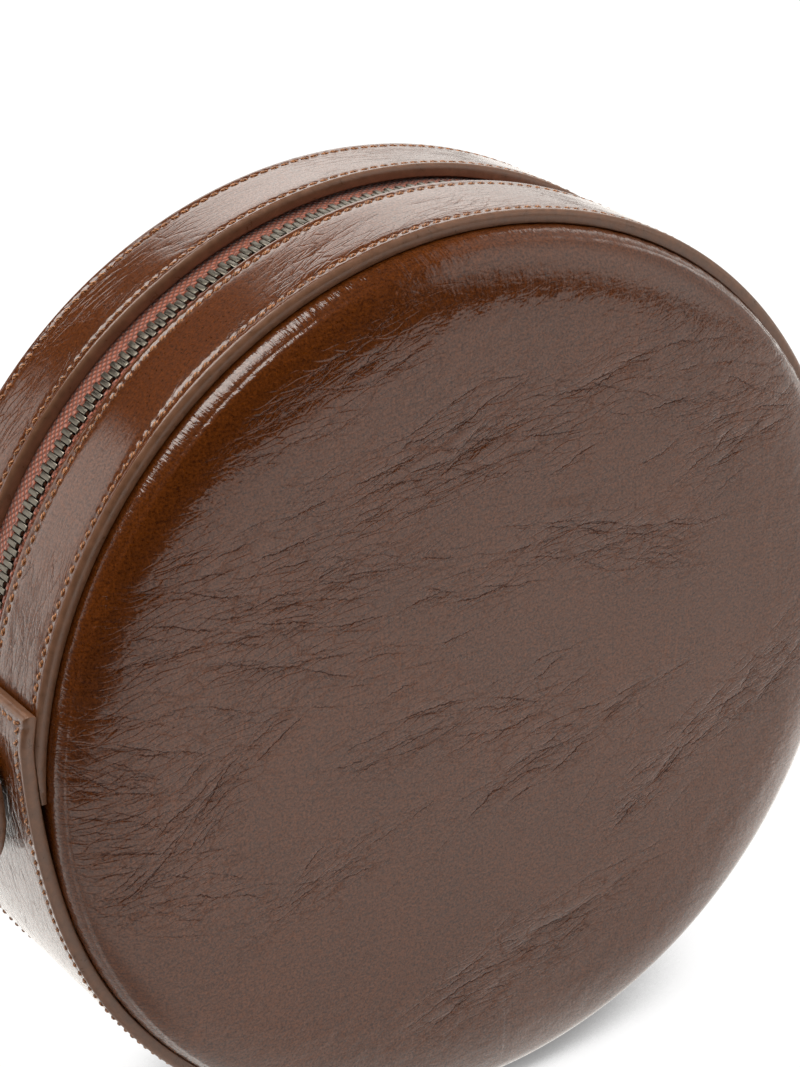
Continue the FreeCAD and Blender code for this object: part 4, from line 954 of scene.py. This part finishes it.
def base_radius(angle):
    """Outside of the base gusset: widening towards its lapped ends and flat where it stands."""
    up = np.where(angle > 270, angle - 360, 180 - angle)
    span = np.radians(np.clip(up + TAPER_FOOT, 0, TAPER_FOOT + TAPER_TOP))
    whole = math.radians(TAPER_FOOT + TAPER_TOP)
    shift = (LAP_RADIUS ** 2 - BAG_RADIUS ** 2) / (2 * (BAG_RADIUS - LAP_RADIUS * math.cos(whole)))
    wall = np.sqrt((BAG_RADIUS + shift) ** 2 - (shift * np.sin(span)) ** 2) - shift * np.cos(span)
    sink = np.sin(np.radians(angle))
    return np.where(sink * wall < -MIDDLE, -MIDDLE / np.minimum(sink, -0.5), wall)


class BAG_OT_base_gusset(bpy.types.Operator):
    """Build the lower wall, whose ends lap over the zip gussets, with its stitches"""

    bl_idname = "bag.base_gusset"
    bl_label = "Base gusset"

    END_WELL, END_WELL_HALF = 0.3, 0.55
    FOOT_HALF, FOOT_FADE, FOOT_WELL, FOOT_WELL_HALF = 19.2, 8.0, 0.36, 0.75

    def execute(self, context):
        finishes(context)
        sizes = context.scene.bag_sizes
        rng = np.random.default_rng(sizes.seed + 40)
        width = 2 * HALF_WIDTH
        first, last = 180 - LAP_TOP, 360 + LAP_TOP
        length = math.radians(last - first) * BAG_RADIUS
        inset = sizes.seam_inset / MM
        rows = (inset, width - inset)
        bundles = strip_creases(rng, length, width, 90)
        creases = Creasing(rng, (0, 0), (length, width), bundles, depth=0.09, width=0.9,
                           length=(6, 24), most=0.7)

        def height(s, v):
            waves = soft_swell(np.random.default_rng(sizes.seed + 41), s, v, length=40, height=0.12)
            inside = np.clip(np.minimum(v - 1, width - 1 - v) / 3, 0, 1)
            end = np.minimum(s, length - s)
            row = -self.END_WELL * np.exp(-((end - inset) / self.END_WELL_HALF) ** 2)
            off_foot = np.clip((np.abs(s - length / 2) - self.FOOT_HALF) / self.FOOT_FADE, 0, 1)
            wells = (np.exp(-((v - at_row) / self.FOOT_WELL_HALF) ** 2) for at_row in rows)
            sunk = -self.FOOT_WELL * sum(wells)
            full = seam_relief(s, v, rows, width, sizes) + (creases.height(s, v) + waves) * inside
            return full * off_foot + sunk * (1 - off_foot) + row

        def at(s, v, lift):
            angle = first + np.degrees(s / BAG_RADIUS)
            return drum(base_radius(angle) + lift, angle, v - HALF_WIDTH)

        def sewn(s, v, lift):
            return at(s, v, lift + height(s, v))

        outline, kind = slab_section(width, WALL, spacing=0.5)
        tip = CORNER * (1 - np.cos(np.linspace(0, math.pi / 2, 6)))
        s = np.concatenate([tip, np.linspace(CORNER, length - CORNER, int(length / 0.55))[1:-1],
                            length - tip[::-1]])[:, None]
        end = np.minimum(s, length - s)
        close = np.clip(CORNER - end, 0, CORNER)
        drop = CORNER - np.sqrt(CORNER ** 2 - close ** 2)
        across, lift = outline[:, 0][None, :], outline[:, 1][None, :]
        top = lift > -CORNER
        under = lift < -WALL / 2
        lift = np.where(top, np.minimum(lift + height(s, across), -drop), lift)
        lift = np.where(under, np.maximum(lift, drop * 0.5 - WALL), np.minimum(lift, -drop))
        rings = at(s, across, lift)
        uv = flat_places(s, across)
        ring_edge = (end[:-1, 0] < CORNER * 0.9) | (end[1:, 0] < CORNER * 0.9)
        shows = np.where(ring_edge[:, None], EDGE, kind[None, :])
        leather_strip("base_gusset", rings, uv, shows, "bag", creases.fields(uv, 0.3))
        ends = (inset, length - inset)
        for label, row in zip(("front", "back"), rows):
            stitches(f"base_gusset_{label}_stitches", sewn, [(end, row) for end in ends], sizes, "bag")
        for label, lap in zip(("left", "right"), ends):
            stitches(f"base_gusset_{label}_stitches", sewn, [(lap, row) for row in rows], sizes, "bag")
        return {"FINISHED"}


def tooth_shape():
    """One bevelled tooth: points as (along, across, up) about the tape's edge, and its faces."""
    slot, slot_end = TAPE_THICKNESS / 2 + TOOTH_CLEARANCE, TAPE_EDGE - TOOTH_CLEARANCE
    upper = [(-TOOTH_REACH, TOOTH_HALF_HEIGHT), (TOOTH_LEG, TOOTH_HALF_HEIGHT),
             (TOOTH_LEG, slot), (slot_end, slot)]
    outline = upper + [(across, -up) for across, up in reversed(upper)]
    shell = bmesh.new()
    corners = [shell.verts.new((-TOOTH_THICKNESS / 2, across, up)) for across, up in outline]
    face = shell.faces.new(corners)
    grown = bmesh.ops.extrude_face_region(shell, geom=[face])
    moved = [item for item in grown["geom"] if isinstance(item, bmesh.types.BMVert)]
    bmesh.ops.translate(shell, verts=moved, vec=(TOOTH_THICKNESS, 0, 0))
    edges = [edge for edge in shell.edges
             if all(abs(abs(vert.co.z) - TOOTH_HALF_HEIGHT) < 0.01 or vert.co.y < 0 for vert in edge.verts)]
    bmesh.ops.bevel(shell, geom=edges, offset=TOOTH_BEVEL, segments=3, profile=0.5, affect="EDGES")
    bmesh.ops.recalc_face_normals(shell, faces=shell.faces)
    shell.verts.index_update()
    points = np.array([vert.co for vert in shell.verts])
    faces = [[vert.index for vert in item.verts] for item in shell.faces]
    shell.free()
    return points, faces


def row_of_teeth(side, rng):
    """Points and faces of one row; the back row stands half a step further on."""
    shape, shape_faces = tooth_shape()
    start = CHAIN_START + (TOOTH_STEP / 2 if side > 0 else 0)
    along, across, up = shape.T
    points, faces = [], []
    for number in range(TOOTH_COUNT):
        turn = math.radians(start + number * TOOTH_STEP + rng.normal(0, TOOTH_STRAY))
        radius = TAPE_MIDDLE + up
        points.append(np.stack([
            radius * math.cos(turn) - along * math.sin(turn), side * across,
            MIDDLE + radius * math.sin(turn) + along * math.cos(turn)], -1))
        faces += [[index + number * len(shape) for index in face] for face in shape_faces]
    return np.concatenate(points), faces


# The tape's beaded edge, the cord along it, and the part of its width that ripples
BEAD_WIDTH, BEAD_HEIGHT, BEAD_LIFT, BEAD_STEPS = 0.45, 0.42, 0.05, 7
CORD_MIDDLE, CORD_HALF, CORD_HEIGHT, CORD_TURN, CORD_UNDER = 0.9, 0.75, 0.8, 0.4, 0.6
LOOSE, TAPE_RINGS, TAPE_COLUMNS, TAPE_START = (3.2, 8.0), 420, 30, 0.8


def tape_outline():
    """Outline of a tape across its width, from its beaded edge, as (across, height)."""
    lip = np.linspace(0, math.pi, BEAD_STEPS)
    lip_across = TAPE_EDGE + BEAD_WIDTH * (1 - np.sin(lip))
    bead = np.stack([lip_across, BEAD_LIFT - BEAD_HEIGHT * (1 - np.cos(lip))], -1)
    back = TAPE_EDGE + TAPE_START + (TAPE_WIDTH - TAPE_START) * np.linspace(0, 1, TAPE_COLUMNS) ** 1.6
    return np.concatenate([bead, np.stack([back, np.full_like(back, -TAPE_THICKNESS)], -1),
                           np.stack([back[::-1], np.zeros_like(back)], -1)])


class BAG_OT_zip(bpy.types.Operator):
    """Build the zip's woven tapes and its two rows of teeth"""

    bl_idname = "bag.zip"
    bl_label = "Zip tapes and teeth"

    def execute(self, context):
        finishes(context)
        first, last = GUSSET_ENDS
        length = math.radians(last - first) * TAPE_OUTER
        s = np.linspace(0, length, TAPE_RINGS)[:, None]
        for side, word in ((-1, "front"), (1, "back")):
            rng = np.random.default_rng(context.scene.bag_sizes.seed + 60 + side)
            across, lift = (column[None, :] for column in tape_outline().T)
            cord = np.exp(-((across - TAPE_EDGE - CORD_MIDDLE) / CORD_HALF) ** 4) * CORD_HEIGHT
            cord = cord * np.where(lift > -CORD_TURN, 1, -CORD_UNDER)
            loose = np.clip((across - LOOSE[0]) / 2, 0, 1) * np.clip((LOOSE[1] - across) / 2, 0, 1)
            ripple = soft_swell(rng, s, across * 2, length=14, height=0.05) * loose
            angle = first + np.degrees(s / TAPE_OUTER)
            rings = drum(TAPE_OUTER + lift + cord + ripple, angle, side * across)
            make_piece(f"{word}_zip_tape_weave", rings.reshape(-1, 3), loft(rings), flat_places(s, across),
                       ("woven_tape",), "bag", (f"{word}_zip_tape",))

            points, faces = row_of_teeth(side, rng)
            make_piece(f"zip_teeth_{word}_metal", points, faces, points[:, [0, 2]], ("antique_nickel",),
                       "bag", (f"zip_teeth_{word}",))
        return {"FINISHED"}


class BAG_OT_hardware(bpy.types.Operator):
    """Finish the slider, pull, stops and studs of the frame in antique nickel"""

    bl_idname = "bag.hardware"
    bl_label = "Slider and studs"

    FULL_EDGE, FINE_EDGE, EDGE_ANGLE = 0.3, 0.18, math.radians(40)

    def execute(self, context):
        finishes(context)
        pieces = ["zip_slider", "zip_slider_crown", "zip_pull", "zip_top_stops", "zip_bottom_stop"]
        pieces += [f"strap_{part}_{side}" for part in ("post", "cap", "spacer", "backplate")
                   for side in ("left", "right")]
        for name in pieces:
            piece = refinish(name, "antique_nickel")
            rounding = piece.modifiers.new("Rounded edges", "BEVEL")
            rounding.width = (self.FULL_EDGE if "cap" in name or "pull" in name else self.FINE_EDGE) * MM
            rounding.segments = 3
            rounding.limit_method = "ANGLE"
            rounding.angle_limit = self.EDGE_ANGLE
            rounding.harden_normals = True
        return {"FINISHED"}


def strap_line():
    """Line between the strap's two layers in its own plane: run, points, normals and the plane's turn."""
    middle = STRAP_INNER + STRAP_LAYER
    bend = STRAP_FLARE - STRAP_LAYER
    centre = STRAP_INNER + STRAP_FLARE
    flare_cos, flare_sin = math.cos(STRAP_FLARE_ANGLE), math.sin(STRAP_FLARE_ANGLE)
    leg_x = centre - STRAP_FLARE * flare_cos + STRAP_LEG * flare_sin
    leg_z = STRAP_STRAIGHT + STRAP_FLARE * flare_sin + STRAP_LEG * flare_cos
    arch_z = leg_z + leg_x * math.tan(STRAP_FLARE_ANGLE)
    arch = leg_x / flare_cos + STRAP_LAYER
    points, normals = [], []
    for z in np.linspace(-STRAP_HALF, STRAP_STRAIGHT, 30)[:-1]:
        points.append((middle, z))
        normals.append((1.0, 0.0))
    for turn in np.linspace(0, STRAP_FLARE_ANGLE, 10):
        points.append((centre - bend * math.cos(turn), STRAP_STRAIGHT + bend * math.sin(turn)))
        normals.append((math.cos(turn), -math.sin(turn)))
    for turn in np.linspace(-STRAP_FLARE_ANGLE, math.pi / 2, 160):
        points.append((arch * math.cos(turn), arch_z + arch * math.sin(turn)))
        normals.append((math.cos(turn), math.sin(turn)))
    points, normals = np.array(points), np.array(normals)
    points = np.concatenate([points, points[-2::-1] * (-1, 1)])
    normals = np.concatenate([normals, normals[-2::-1] * (-1, 1)])
    run = np.concatenate([[0], np.cumsum(np.hypot(*np.diff(points, axis=0).T))])
    top = arch_z + arch + STRAP_LAYER
    tilt = math.asin((MIDDLE - STRAP_LIFT) / math.hypot(top, STRAP_HALF)) - math.atan(STRAP_HALF / top)
    return run, points, normals, -math.pi / 2 - tilt


def strap_seam(length, inset):
    """Closed line of stitches round a strap of that length, at an inset from its edge."""
    edge = STRAP_HALF - inset
    corner = np.linspace(0, math.pi / 2, 20)[1:-1]
    seam = []
    for end, way in ((length - STRAP_HALF, 1), (STRAP_HALF, -1)):
        seam += [(length - end, way * edge), (end, way * edge)]
        seam += [(end + way * edge * math.sin(a), way * edge * math.cos(a)) for a in corner]
        seam += [(end + way * edge * math.cos(a), -way * edge * math.sin(a)) for a in corner]
    return seam


class BAG_OT_strap(bpy.types.Operator):
    """Build the strap's two layers of leather, with their stitches"""

    bl_idname = "bag.strap"
    bl_label = "Strap"

    def execute(self, context):
        finishes(context)
        sizes = context.scene.bag_sizes
        run, line, normals, turn = strap_line()
        length = run[-1]
        inset = sizes.seam_inset / MM
        cos, sin = math.cos(turn), math.sin(turn)
        tips = STRAP_HALF * (1 - np.cos(np.linspace(math.radians(3), math.pi / 2, 22)))
        s = np.concatenate([tips, np.linspace(STRAP_HALF, length - STRAP_HALF, int(length / 0.9))[1:-1],
                            length - tips[::-1]])[:, None]

        def half_width(s):
            end = np.clip(np.minimum(s, length - s), 0, STRAP_HALF)
            return np.sqrt(STRAP_HALF ** 2 - (STRAP_HALF - end) ** 2)

        def at(s, v, lift):
            x = np.interp(s, run, line[:, 0]) + np.interp(s, run, normals[:, 0]) * lift
            z = np.interp(s, run, line[:, 1]) + np.interp(s, run, normals[:, 1]) * lift
            x, v, z = np.broadcast_arrays(x, v, z)
            return np.stack([x, v * cos - z * sin, MIDDLE + v * sin + z * cos], -1)

        def from_edge(s, v):
            end = np.clip(np.minimum(s, length - s) - STRAP_HALF, None, 0)
            return STRAP_HALF - np.hypot(end, v)

        for name, outward, seed in (("strap_face", 1, 80), ("strap_backing", -1, 81)):
            rng = np.random.default_rng(sizes.seed + seed)
            width = 2 * STRAP_HALF
            bundles = strip_creases(rng, length, width, 90)
            creases = Creasing(rng, (0, 0), (length, width), bundles, depth=0.05, width=0.9,
                               length=(6, 22), most=0.6)

            def height(s, v):
                away = from_edge(s, v)
                inside = np.clip((away - 1) / 2.5, 0, 1)
                sunk = 0.22 * np.exp(-((away - inset) / 0.6) ** 2)
                full = 0.12 * np.clip((away - inset) / 4, 0, 1)
                return creases.height(s, v + STRAP_HALF) * inside - sunk + full

            def sewn(s, v, lift):
                return at(s, v, outward * (STRAP_LAYER + height(s, v) + lift))

            outline, kind = slab_section(width, STRAP_LAYER, 0.9, STRAP_CORNER, STRAP_UNDER)
            share = (outline[:, 0] / STRAP_HALF - 1)[None, :]
            from_side = STRAP_HALF - np.abs(share) * STRAP_HALF
            across = np.sign(share) * np.clip(half_width(s) - from_side, 0, None)
            lift = STRAP_LAYER + outline[:, 1][None, :] + 0 * s
            top = (outline[:, 1] > -STRAP_CORNER)[None, :]
            lift = np.clip(np.where(top, lift + height(s, across), lift), 0.02, None)
            rings = at(s, across, outward * lift)
            uv = flat_places(s, across)
            tip_ring = np.minimum(s, length - s)[:-1, 0] < 0.5
            shows = np.where(tip_ring[:, None], EDGE, kind[None, :])
            leather_strip(name, rings, uv, shows, "strap", creases.fields(uv + (0, STRAP_HALF), 0.25))
            stitches(f"{name}_stitches", sewn, strap_seam(length, inset), sizes, "strap", closed=True)
        return {"FINISHED"}


class BAG_OT_inside(bpy.types.Operator):
    """Build the cloth linings and the padding inside the bag, and finish its boards"""

    bl_idname = "bag.inside"
    bl_label = "Inside"

    def execute(self, context):
        finishes(context)
        seed = context.scene.bag_sizes.seed + 100
        for word, side in (("front", -1), ("back", 1)):
            self.padding(word, side)
            self.panel_lining(word, side, np.random.default_rng(seed + side))
            sides = (side * FACING_EDGE, side * FACING_END)
            self.band_lining(f"{word}_zip_facing", GUSSET_ENDS, sides,
                             np.random.default_rng(seed + 2 * side), f"{word}_zip_tape")
        base_ends = (180 - BASE_LINING_UP, 360 + BASE_LINING_UP)
        self.band_lining("base_lining", base_ends, (-FACING_END, FACING_END),
                         np.random.default_rng(seed + 3), "base_gusset")
        for name in ("front_board", "back_board", "base_board"):
            refinish(name, "fibre_board")
        return {"FINISHED"}

    def padding(self, word, side):
        _, _, roll_end = panel_section(np.array(0.0))
        centre, face_rings, back_rings, around = 0.02, 120, 12, 240
        radius, depth, _ = panel_section(np.linspace(centre, roll_end, face_rings),
                                         inset=PANEL_LEATHER + LAYER_GAP)
        above = depth > BOARD_FACE
        edge = np.interp(-BOARD_FACE, -depth, radius)
        radius = np.concatenate([radius[above], np.linspace(edge, centre, back_rings)])
        depth = np.concatenate([depth[above], np.full(back_rings, BOARD_FACE)])
        angle = np.linspace(0, 360, around + 1)[:-1]
        rings = drum(radius[:, None], angle, side * depth[:, None])
        points = rings.reshape(-1, 3)
        piece = make_piece(f"{word}_padding", points, loft(rings), points[:, [0, 2]], ("padding_foam",),
                           "bag", (f"{word}_foam",))

    def panel_lining(self, word, side, rng):
        across, up = even_disc(CLOTH_NET)
        u, v = across * LINING_RADIUS, up * LINING_RADIUS
        swell = soft_swell(rng, u, v, CLOTH_SWELL_LENGTH, CLOTH_SWELL)
        points = np.stack([u, side * LINING_DEPTH + swell, MIDDLE + v], -1)
        piece = make_piece(f"{word}_lining_cloth", points.reshape(-1, 3), net(*u.shape).tolist(),
                           flat_places(u, v), ("twill_lining",), "bag", (f"{word}_lining",))
        across = 2 * LINING_RADIUS * MM

    def band_lining(self, name, ends, sides, rng, rests_on):
        length = math.radians(ends[1] - ends[0]) * FACING_RADIUS
        width = abs(sides[1] - sides[0])
        s = np.linspace(0, length, int(length / CLOTH_STEP))[:, None]
        depth = np.linspace(*sides, int(width / CLOTH_STEP))[None, :]
        lift = soft_swell(rng, s, depth, CLOTH_SWELL_LENGTH, CLOTH_SWELL)
        angle = ends[0] + np.degrees(s / FACING_RADIUS)
        points = drum(FACING_RADIUS + lift, angle, depth).reshape(-1, 3)
        # The studs go through the base lining at its two sides
        faces = net(s.size, depth.size)
        middle = points[faces].mean(1)
        whole = np.hypot(middle[:, 1], middle[:, 2] - MIDDLE) > STUD_HOLE
        piece = make_piece(f"{name}_cloth", points, faces[whole].tolist(), flat_places(s, depth),
                           ("twill_lining",), "bag", (name,))


# Stage, in metres and watts
WHITE, WARM = (1.0, 1.0, 1.0), (1.0, 0.972, 0.925)
FLOOR_REACH, FLOOR_PAINT = 2.4, 0.9
SHADOW_REACH, SHADOW_SAMPLES = 0.05, 16
DIM_ROOM = 0.025
KEY_PLACE, KEY_SIZE, KEY_POWER = (-0.45, 0.42, 1.14), (0.60, 0.72), 10.5
FILL_PLACE, FILL_SIZE, FILL_POWER = (0.1, -0.35, 1.7), (1.6, 1.6), 15.0

# Camera: its turns in degrees, its place from the middle of the bag, and its lens, in millimetres
CAMERA_YAW, CAMERA_PITCH, CAMERA_ROLL = 32.043, 25.540, 2.363
CAMERA_PLACE = (-296.80, -476.74, 290.21)
LENS, SENSOR = 105.06, 36.0


def floor_light(finish):
    """Painted light on the floor, seen only in reflections: how brightly it glows, and how far its paint is
    shown lit.

    This painted pool of light is fullest behind and to the right, and ends in front and to the left.
    """
    x, y, _ = finish.parts(finish.node("ShaderNodeTexCoord").outputs["Object"])
    away = finish.math("POWER", finish.plus(finish.times(x, x), finish.times(y, y)), 0.5)
    open_side = finish.math("MAXIMUM", finish.plus(x, 0.12), finish.plus(x, y, 0.45))
    lit = finish.times(finish.between(open_side, -0.07, 0.07, 0.03, 1.0),
                       finish.between(away, 1.2, 2.2, 1.0, 0.03))
    full = finish.plus(finish.between(x, -0.08, 0.05, 1.7, 1.92), finish.between(y, -0.05, 0.15, 0.0, 1.2))
    right = finish.times(finish.between(y, -0.11, -0.04, 0.0, 1.5), finish.between(x, 0.06, 0.15))
    front = finish.times(finish.between(y, -0.08, -0.035), finish.between(x, -0.09, -0.01),
                         finish.between(x, 0.01, 0.06, 1.0, 0.0))
    close = finish.times(finish.plus(right, front), finish.between(y, -0.02, 0.06, 1.0, 0.0))
    pool = finish.times(lit, finish.plus(finish.math("MINIMUM", full, 1.98), close))
    # Painted shade: the floor to the left of the bag is darkened as if it lay in the bag's shade
    beside = finish.times(finish.between(x, -0.10, -0.06, 1.0, 0.0), finish.between(y, -0.10, -0.05),
                          finish.between(y, 0.015, 0.05, 1.0, 0.0))
    dim = finish.less(1.0, finish.times(beside, 0.55))
    return finish.times(pool, dim), finish.times(lit, dim)


def pale_floor():
    """Floor that is white to the camera, apart from the bag's shadow, partly real and partly painted, and
    glows with a painted pool of light for reflections.
    """
    finish = Finish.of_material("pale_floor")
    pool, lit = floor_light(finish)
    path = finish.node("ShaderNodeLightPath")
    camera = path.outputs["Is Camera Ray"]
    mirrored = finish.math("MAXIMUM", path.outputs["Is Glossy Ray"], path.outputs["Is Transmission Ray"])
    # Painted contact shadow: the white that the camera sees dims where the bag hides the floor from its
    # surroundings
    hollow = finish.node("ShaderNodeAmbientOcclusion", {"Distance": SHADOW_REACH}, samples=SHADOW_SAMPLES)
    painted_contact_shadow = finish.between(hollow.outputs["AO"], 0.20, 0.50, 0.30, 1.12)
    # Reflections see the floor glow with its painted pool of light
    white = finish.node("ShaderNodeEmission", {
        "Color": finish.shades(camera, (0.0, WARM), (1.0, WHITE)),
        "Strength": finish.plus(finish.times(camera, painted_contact_shadow), finish.times(finish.less(1.0, camera), pool))})
    # Painted shade: reflections see the floor's paint darkened where the painted pool of light does not
    # reach
    unlit = finish.less(FLOOR_PAINT, finish.times(lit, FLOOR_PAINT))
    diffuse = finish.node("ShaderNodeBsdfDiffuse", {
        "Color": finish.less(FLOOR_PAINT, finish.times(mirrored, unlit))})
    mixed = finish.node("ShaderNodeMixShader", {
        0: finish.math("MAXIMUM", finish.times(camera, 0.87), finish.times(mirrored, 0.5)),
        1: diffuse.outputs["BSDF"], 2: white.outputs["Emission"]})
    finish.node("ShaderNodeOutputMaterial", {"Surface": mixed.outputs["Shader"]})


def studio_room(tree):
    """World that is white to the camera, and to the bag a dim room with a lit backdrop and wall."""
    finish = Finish(tree)
    x, y, z = finish.parts(finish.node("ShaderNodeTexCoord").outputs["Generated"])
    left = finish.times(finish.between(x, -0.43, -0.33, 1.65, 0.0), finish.between(z, 0.40, 0.47, 1.0, 0.0))
    rear = finish.times(finish.between(x, 0.0, 0.20), finish.between(z, 0.57, 0.66, 1.0, 0.0),
                        finish.between(z, 0.05, 0.45, 1.3, 2.6))
    backdrop = finish.times(finish.between(y, 0.3, 0.6), finish.plus(left, rear))
    slanted = finish.plus(z, finish.times(finish.less(x, 0.6), 1.4))
    wall = finish.times(finish.plus(0.66, finish.between(y, -0.60, -0.10, 0.85, 0.0)),
                        finish.between(x, 0.34, 0.50), finish.between(slanted, -0.03, 0.25),
                        finish.between(y, 0.15, 0.55, 1.0, 0.0))
    room = finish.plus(DIM_ROOM, finish.plus(backdrop, wall))
    camera = finish.node("ShaderNodeLightPath").outputs["Is Camera Ray"]
    light = finish.node("ShaderNodeBackground", {
        "Color": finish.shades(camera, (0.0, WARM), (1.0, WHITE)),
        "Strength": finish.math("MAXIMUM", room, camera)})
    finish.node("ShaderNodeOutputWorld", {"Surface": light.outputs["Background"]})


class BAG_OT_stage(bpy.types.Operator):
    """Set the pale floor, the soft light and the camera"""

    bl_idname = "bag.stage"
    bl_label = "Floor, light and camera"

    def execute(self, context):
        scene = context.scene
        scene.view_settings.view_transform = "Standard"
        self.floor(scene)
        scene.world = bpy.data.worlds.new("studio")
        scene.world.use_nodes = True
        studio_room(scene.world.node_tree)
        self.lamp(scene, "key_softbox", KEY_PLACE, KEY_SIZE, KEY_POWER)
        fill = self.lamp(scene, "overhead_fill", FILL_PLACE, FILL_SIZE, FILL_POWER)
        fill.visible_glossy = False
        self.camera(scene)
        return {"FINISHED"}

    def floor(self, scene):
        mesh = bpy.data.meshes.new("floor")
        corners = [(x * FLOOR_REACH, y * FLOOR_REACH, 0) for x, y in ((-1, -1), (1, -1), (1, 1), (-1, 1))]
        mesh.from_pydata(corners, [], [(0, 1, 2, 3)])
        plane = bpy.data.objects.new("floor", mesh)
        scene.collection.objects.link(plane)
        pale_floor()
        mesh.materials.append(bpy.data.materials["pale_floor"])

    def lamp(self, scene, name, place, size, power):
        light = bpy.data.lights.new(name, "AREA")
        light.shape = "RECTANGLE"
        light.size, light.size_y = size
        light.energy = power
        light.color = WARM
        lamp = bpy.data.objects.new(name, light)
        lamp.location = place
        towards = Vector((0, 0, MIDDLE * MM)) - Vector(place)
        lamp.rotation_euler = towards.to_track_quat("-Z", "Y").to_euler()
        scene.collection.objects.link(lamp)
        return lamp

    def camera(self, scene):
        yaw, pitch, roll = (math.radians(angle) for angle in (CAMERA_YAW, CAMERA_PITCH, CAMERA_ROLL))
        ahead = Vector((math.sin(yaw) * math.cos(pitch), math.cos(yaw) * math.cos(pitch), -math.sin(pitch)))
        right = Vector((math.cos(yaw), -math.sin(yaw), 0))
        down = ahead.cross(right)
        turned_right = math.cos(roll) * right + math.sin(roll) * down
        turned_down = -math.sin(roll) * right + math.cos(roll) * down
        data = bpy.data.cameras.new("photo_view")
        data.lens = LENS
        data.sensor_width = SENSOR
        camera = bpy.data.objects.new("photo_view", data)
        axes = Matrix((turned_right, -turned_down, -ahead)).transposed()
        place = (Vector(CAMERA_PLACE) + Vector((0, 0, MIDDLE))) * MM
        camera.matrix_world = Matrix.Translation(place) @ axes.to_4x4()
        scene.collection.objects.link(camera)
        scene.camera = camera


OPERATORS = (BAG_OT_panels, BAG_OT_zip_gussets, BAG_OT_base_gusset, BAG_OT_zip, BAG_OT_hardware,
             BAG_OT_strap, BAG_OT_inside, BAG_OT_stage)


class BAG_PT_pieces(bpy.types.Panel):
    """Sidebar panel with the bag's pieces, sizes and colours"""

    bl_idname = "BAG_PT_pieces"
    bl_label = "Round leather bag"
    bl_space_type = "VIEW_3D"
    bl_region_type = "UI"
    bl_category = "Bag"

    def draw(self, context):
        for operator in OPERATORS:
            self.layout.operator(operator.bl_idname)
        for group in (context.scene.bag_sizes, context.scene.bag_colours):
            box = self.layout.box()
            for name in group.__annotations__:
                box.prop(group, name)


CLASSES = (BagSizes, BagColours, *OPERATORS, BAG_PT_pieces)


def register():
    for cls in CLASSES:
        bpy.utils.register_class(cls)
    bpy.types.Scene.bag_sizes = PointerProperty(type=BagSizes)
    bpy.types.Scene.bag_colours = PointerProperty(type=BagColours)


def unregister():
    del bpy.types.Scene.bag_colours
    del bpy.types.Scene.bag_sizes
    for cls in reversed(CLASSES):
        bpy.utils.unregister_class(cls)


def main():
    register()
    bpy.ops.bag.panels()
    bpy.ops.bag.zip_gussets()
    bpy.ops.bag.base_gusset()
    bpy.ops.bag.zip()
    bpy.ops.bag.hardware()
    bpy.ops.bag.strap()
    bpy.ops.bag.inside()
    bpy.ops.bag.stage()


if __name__ == "__main__":
    main()
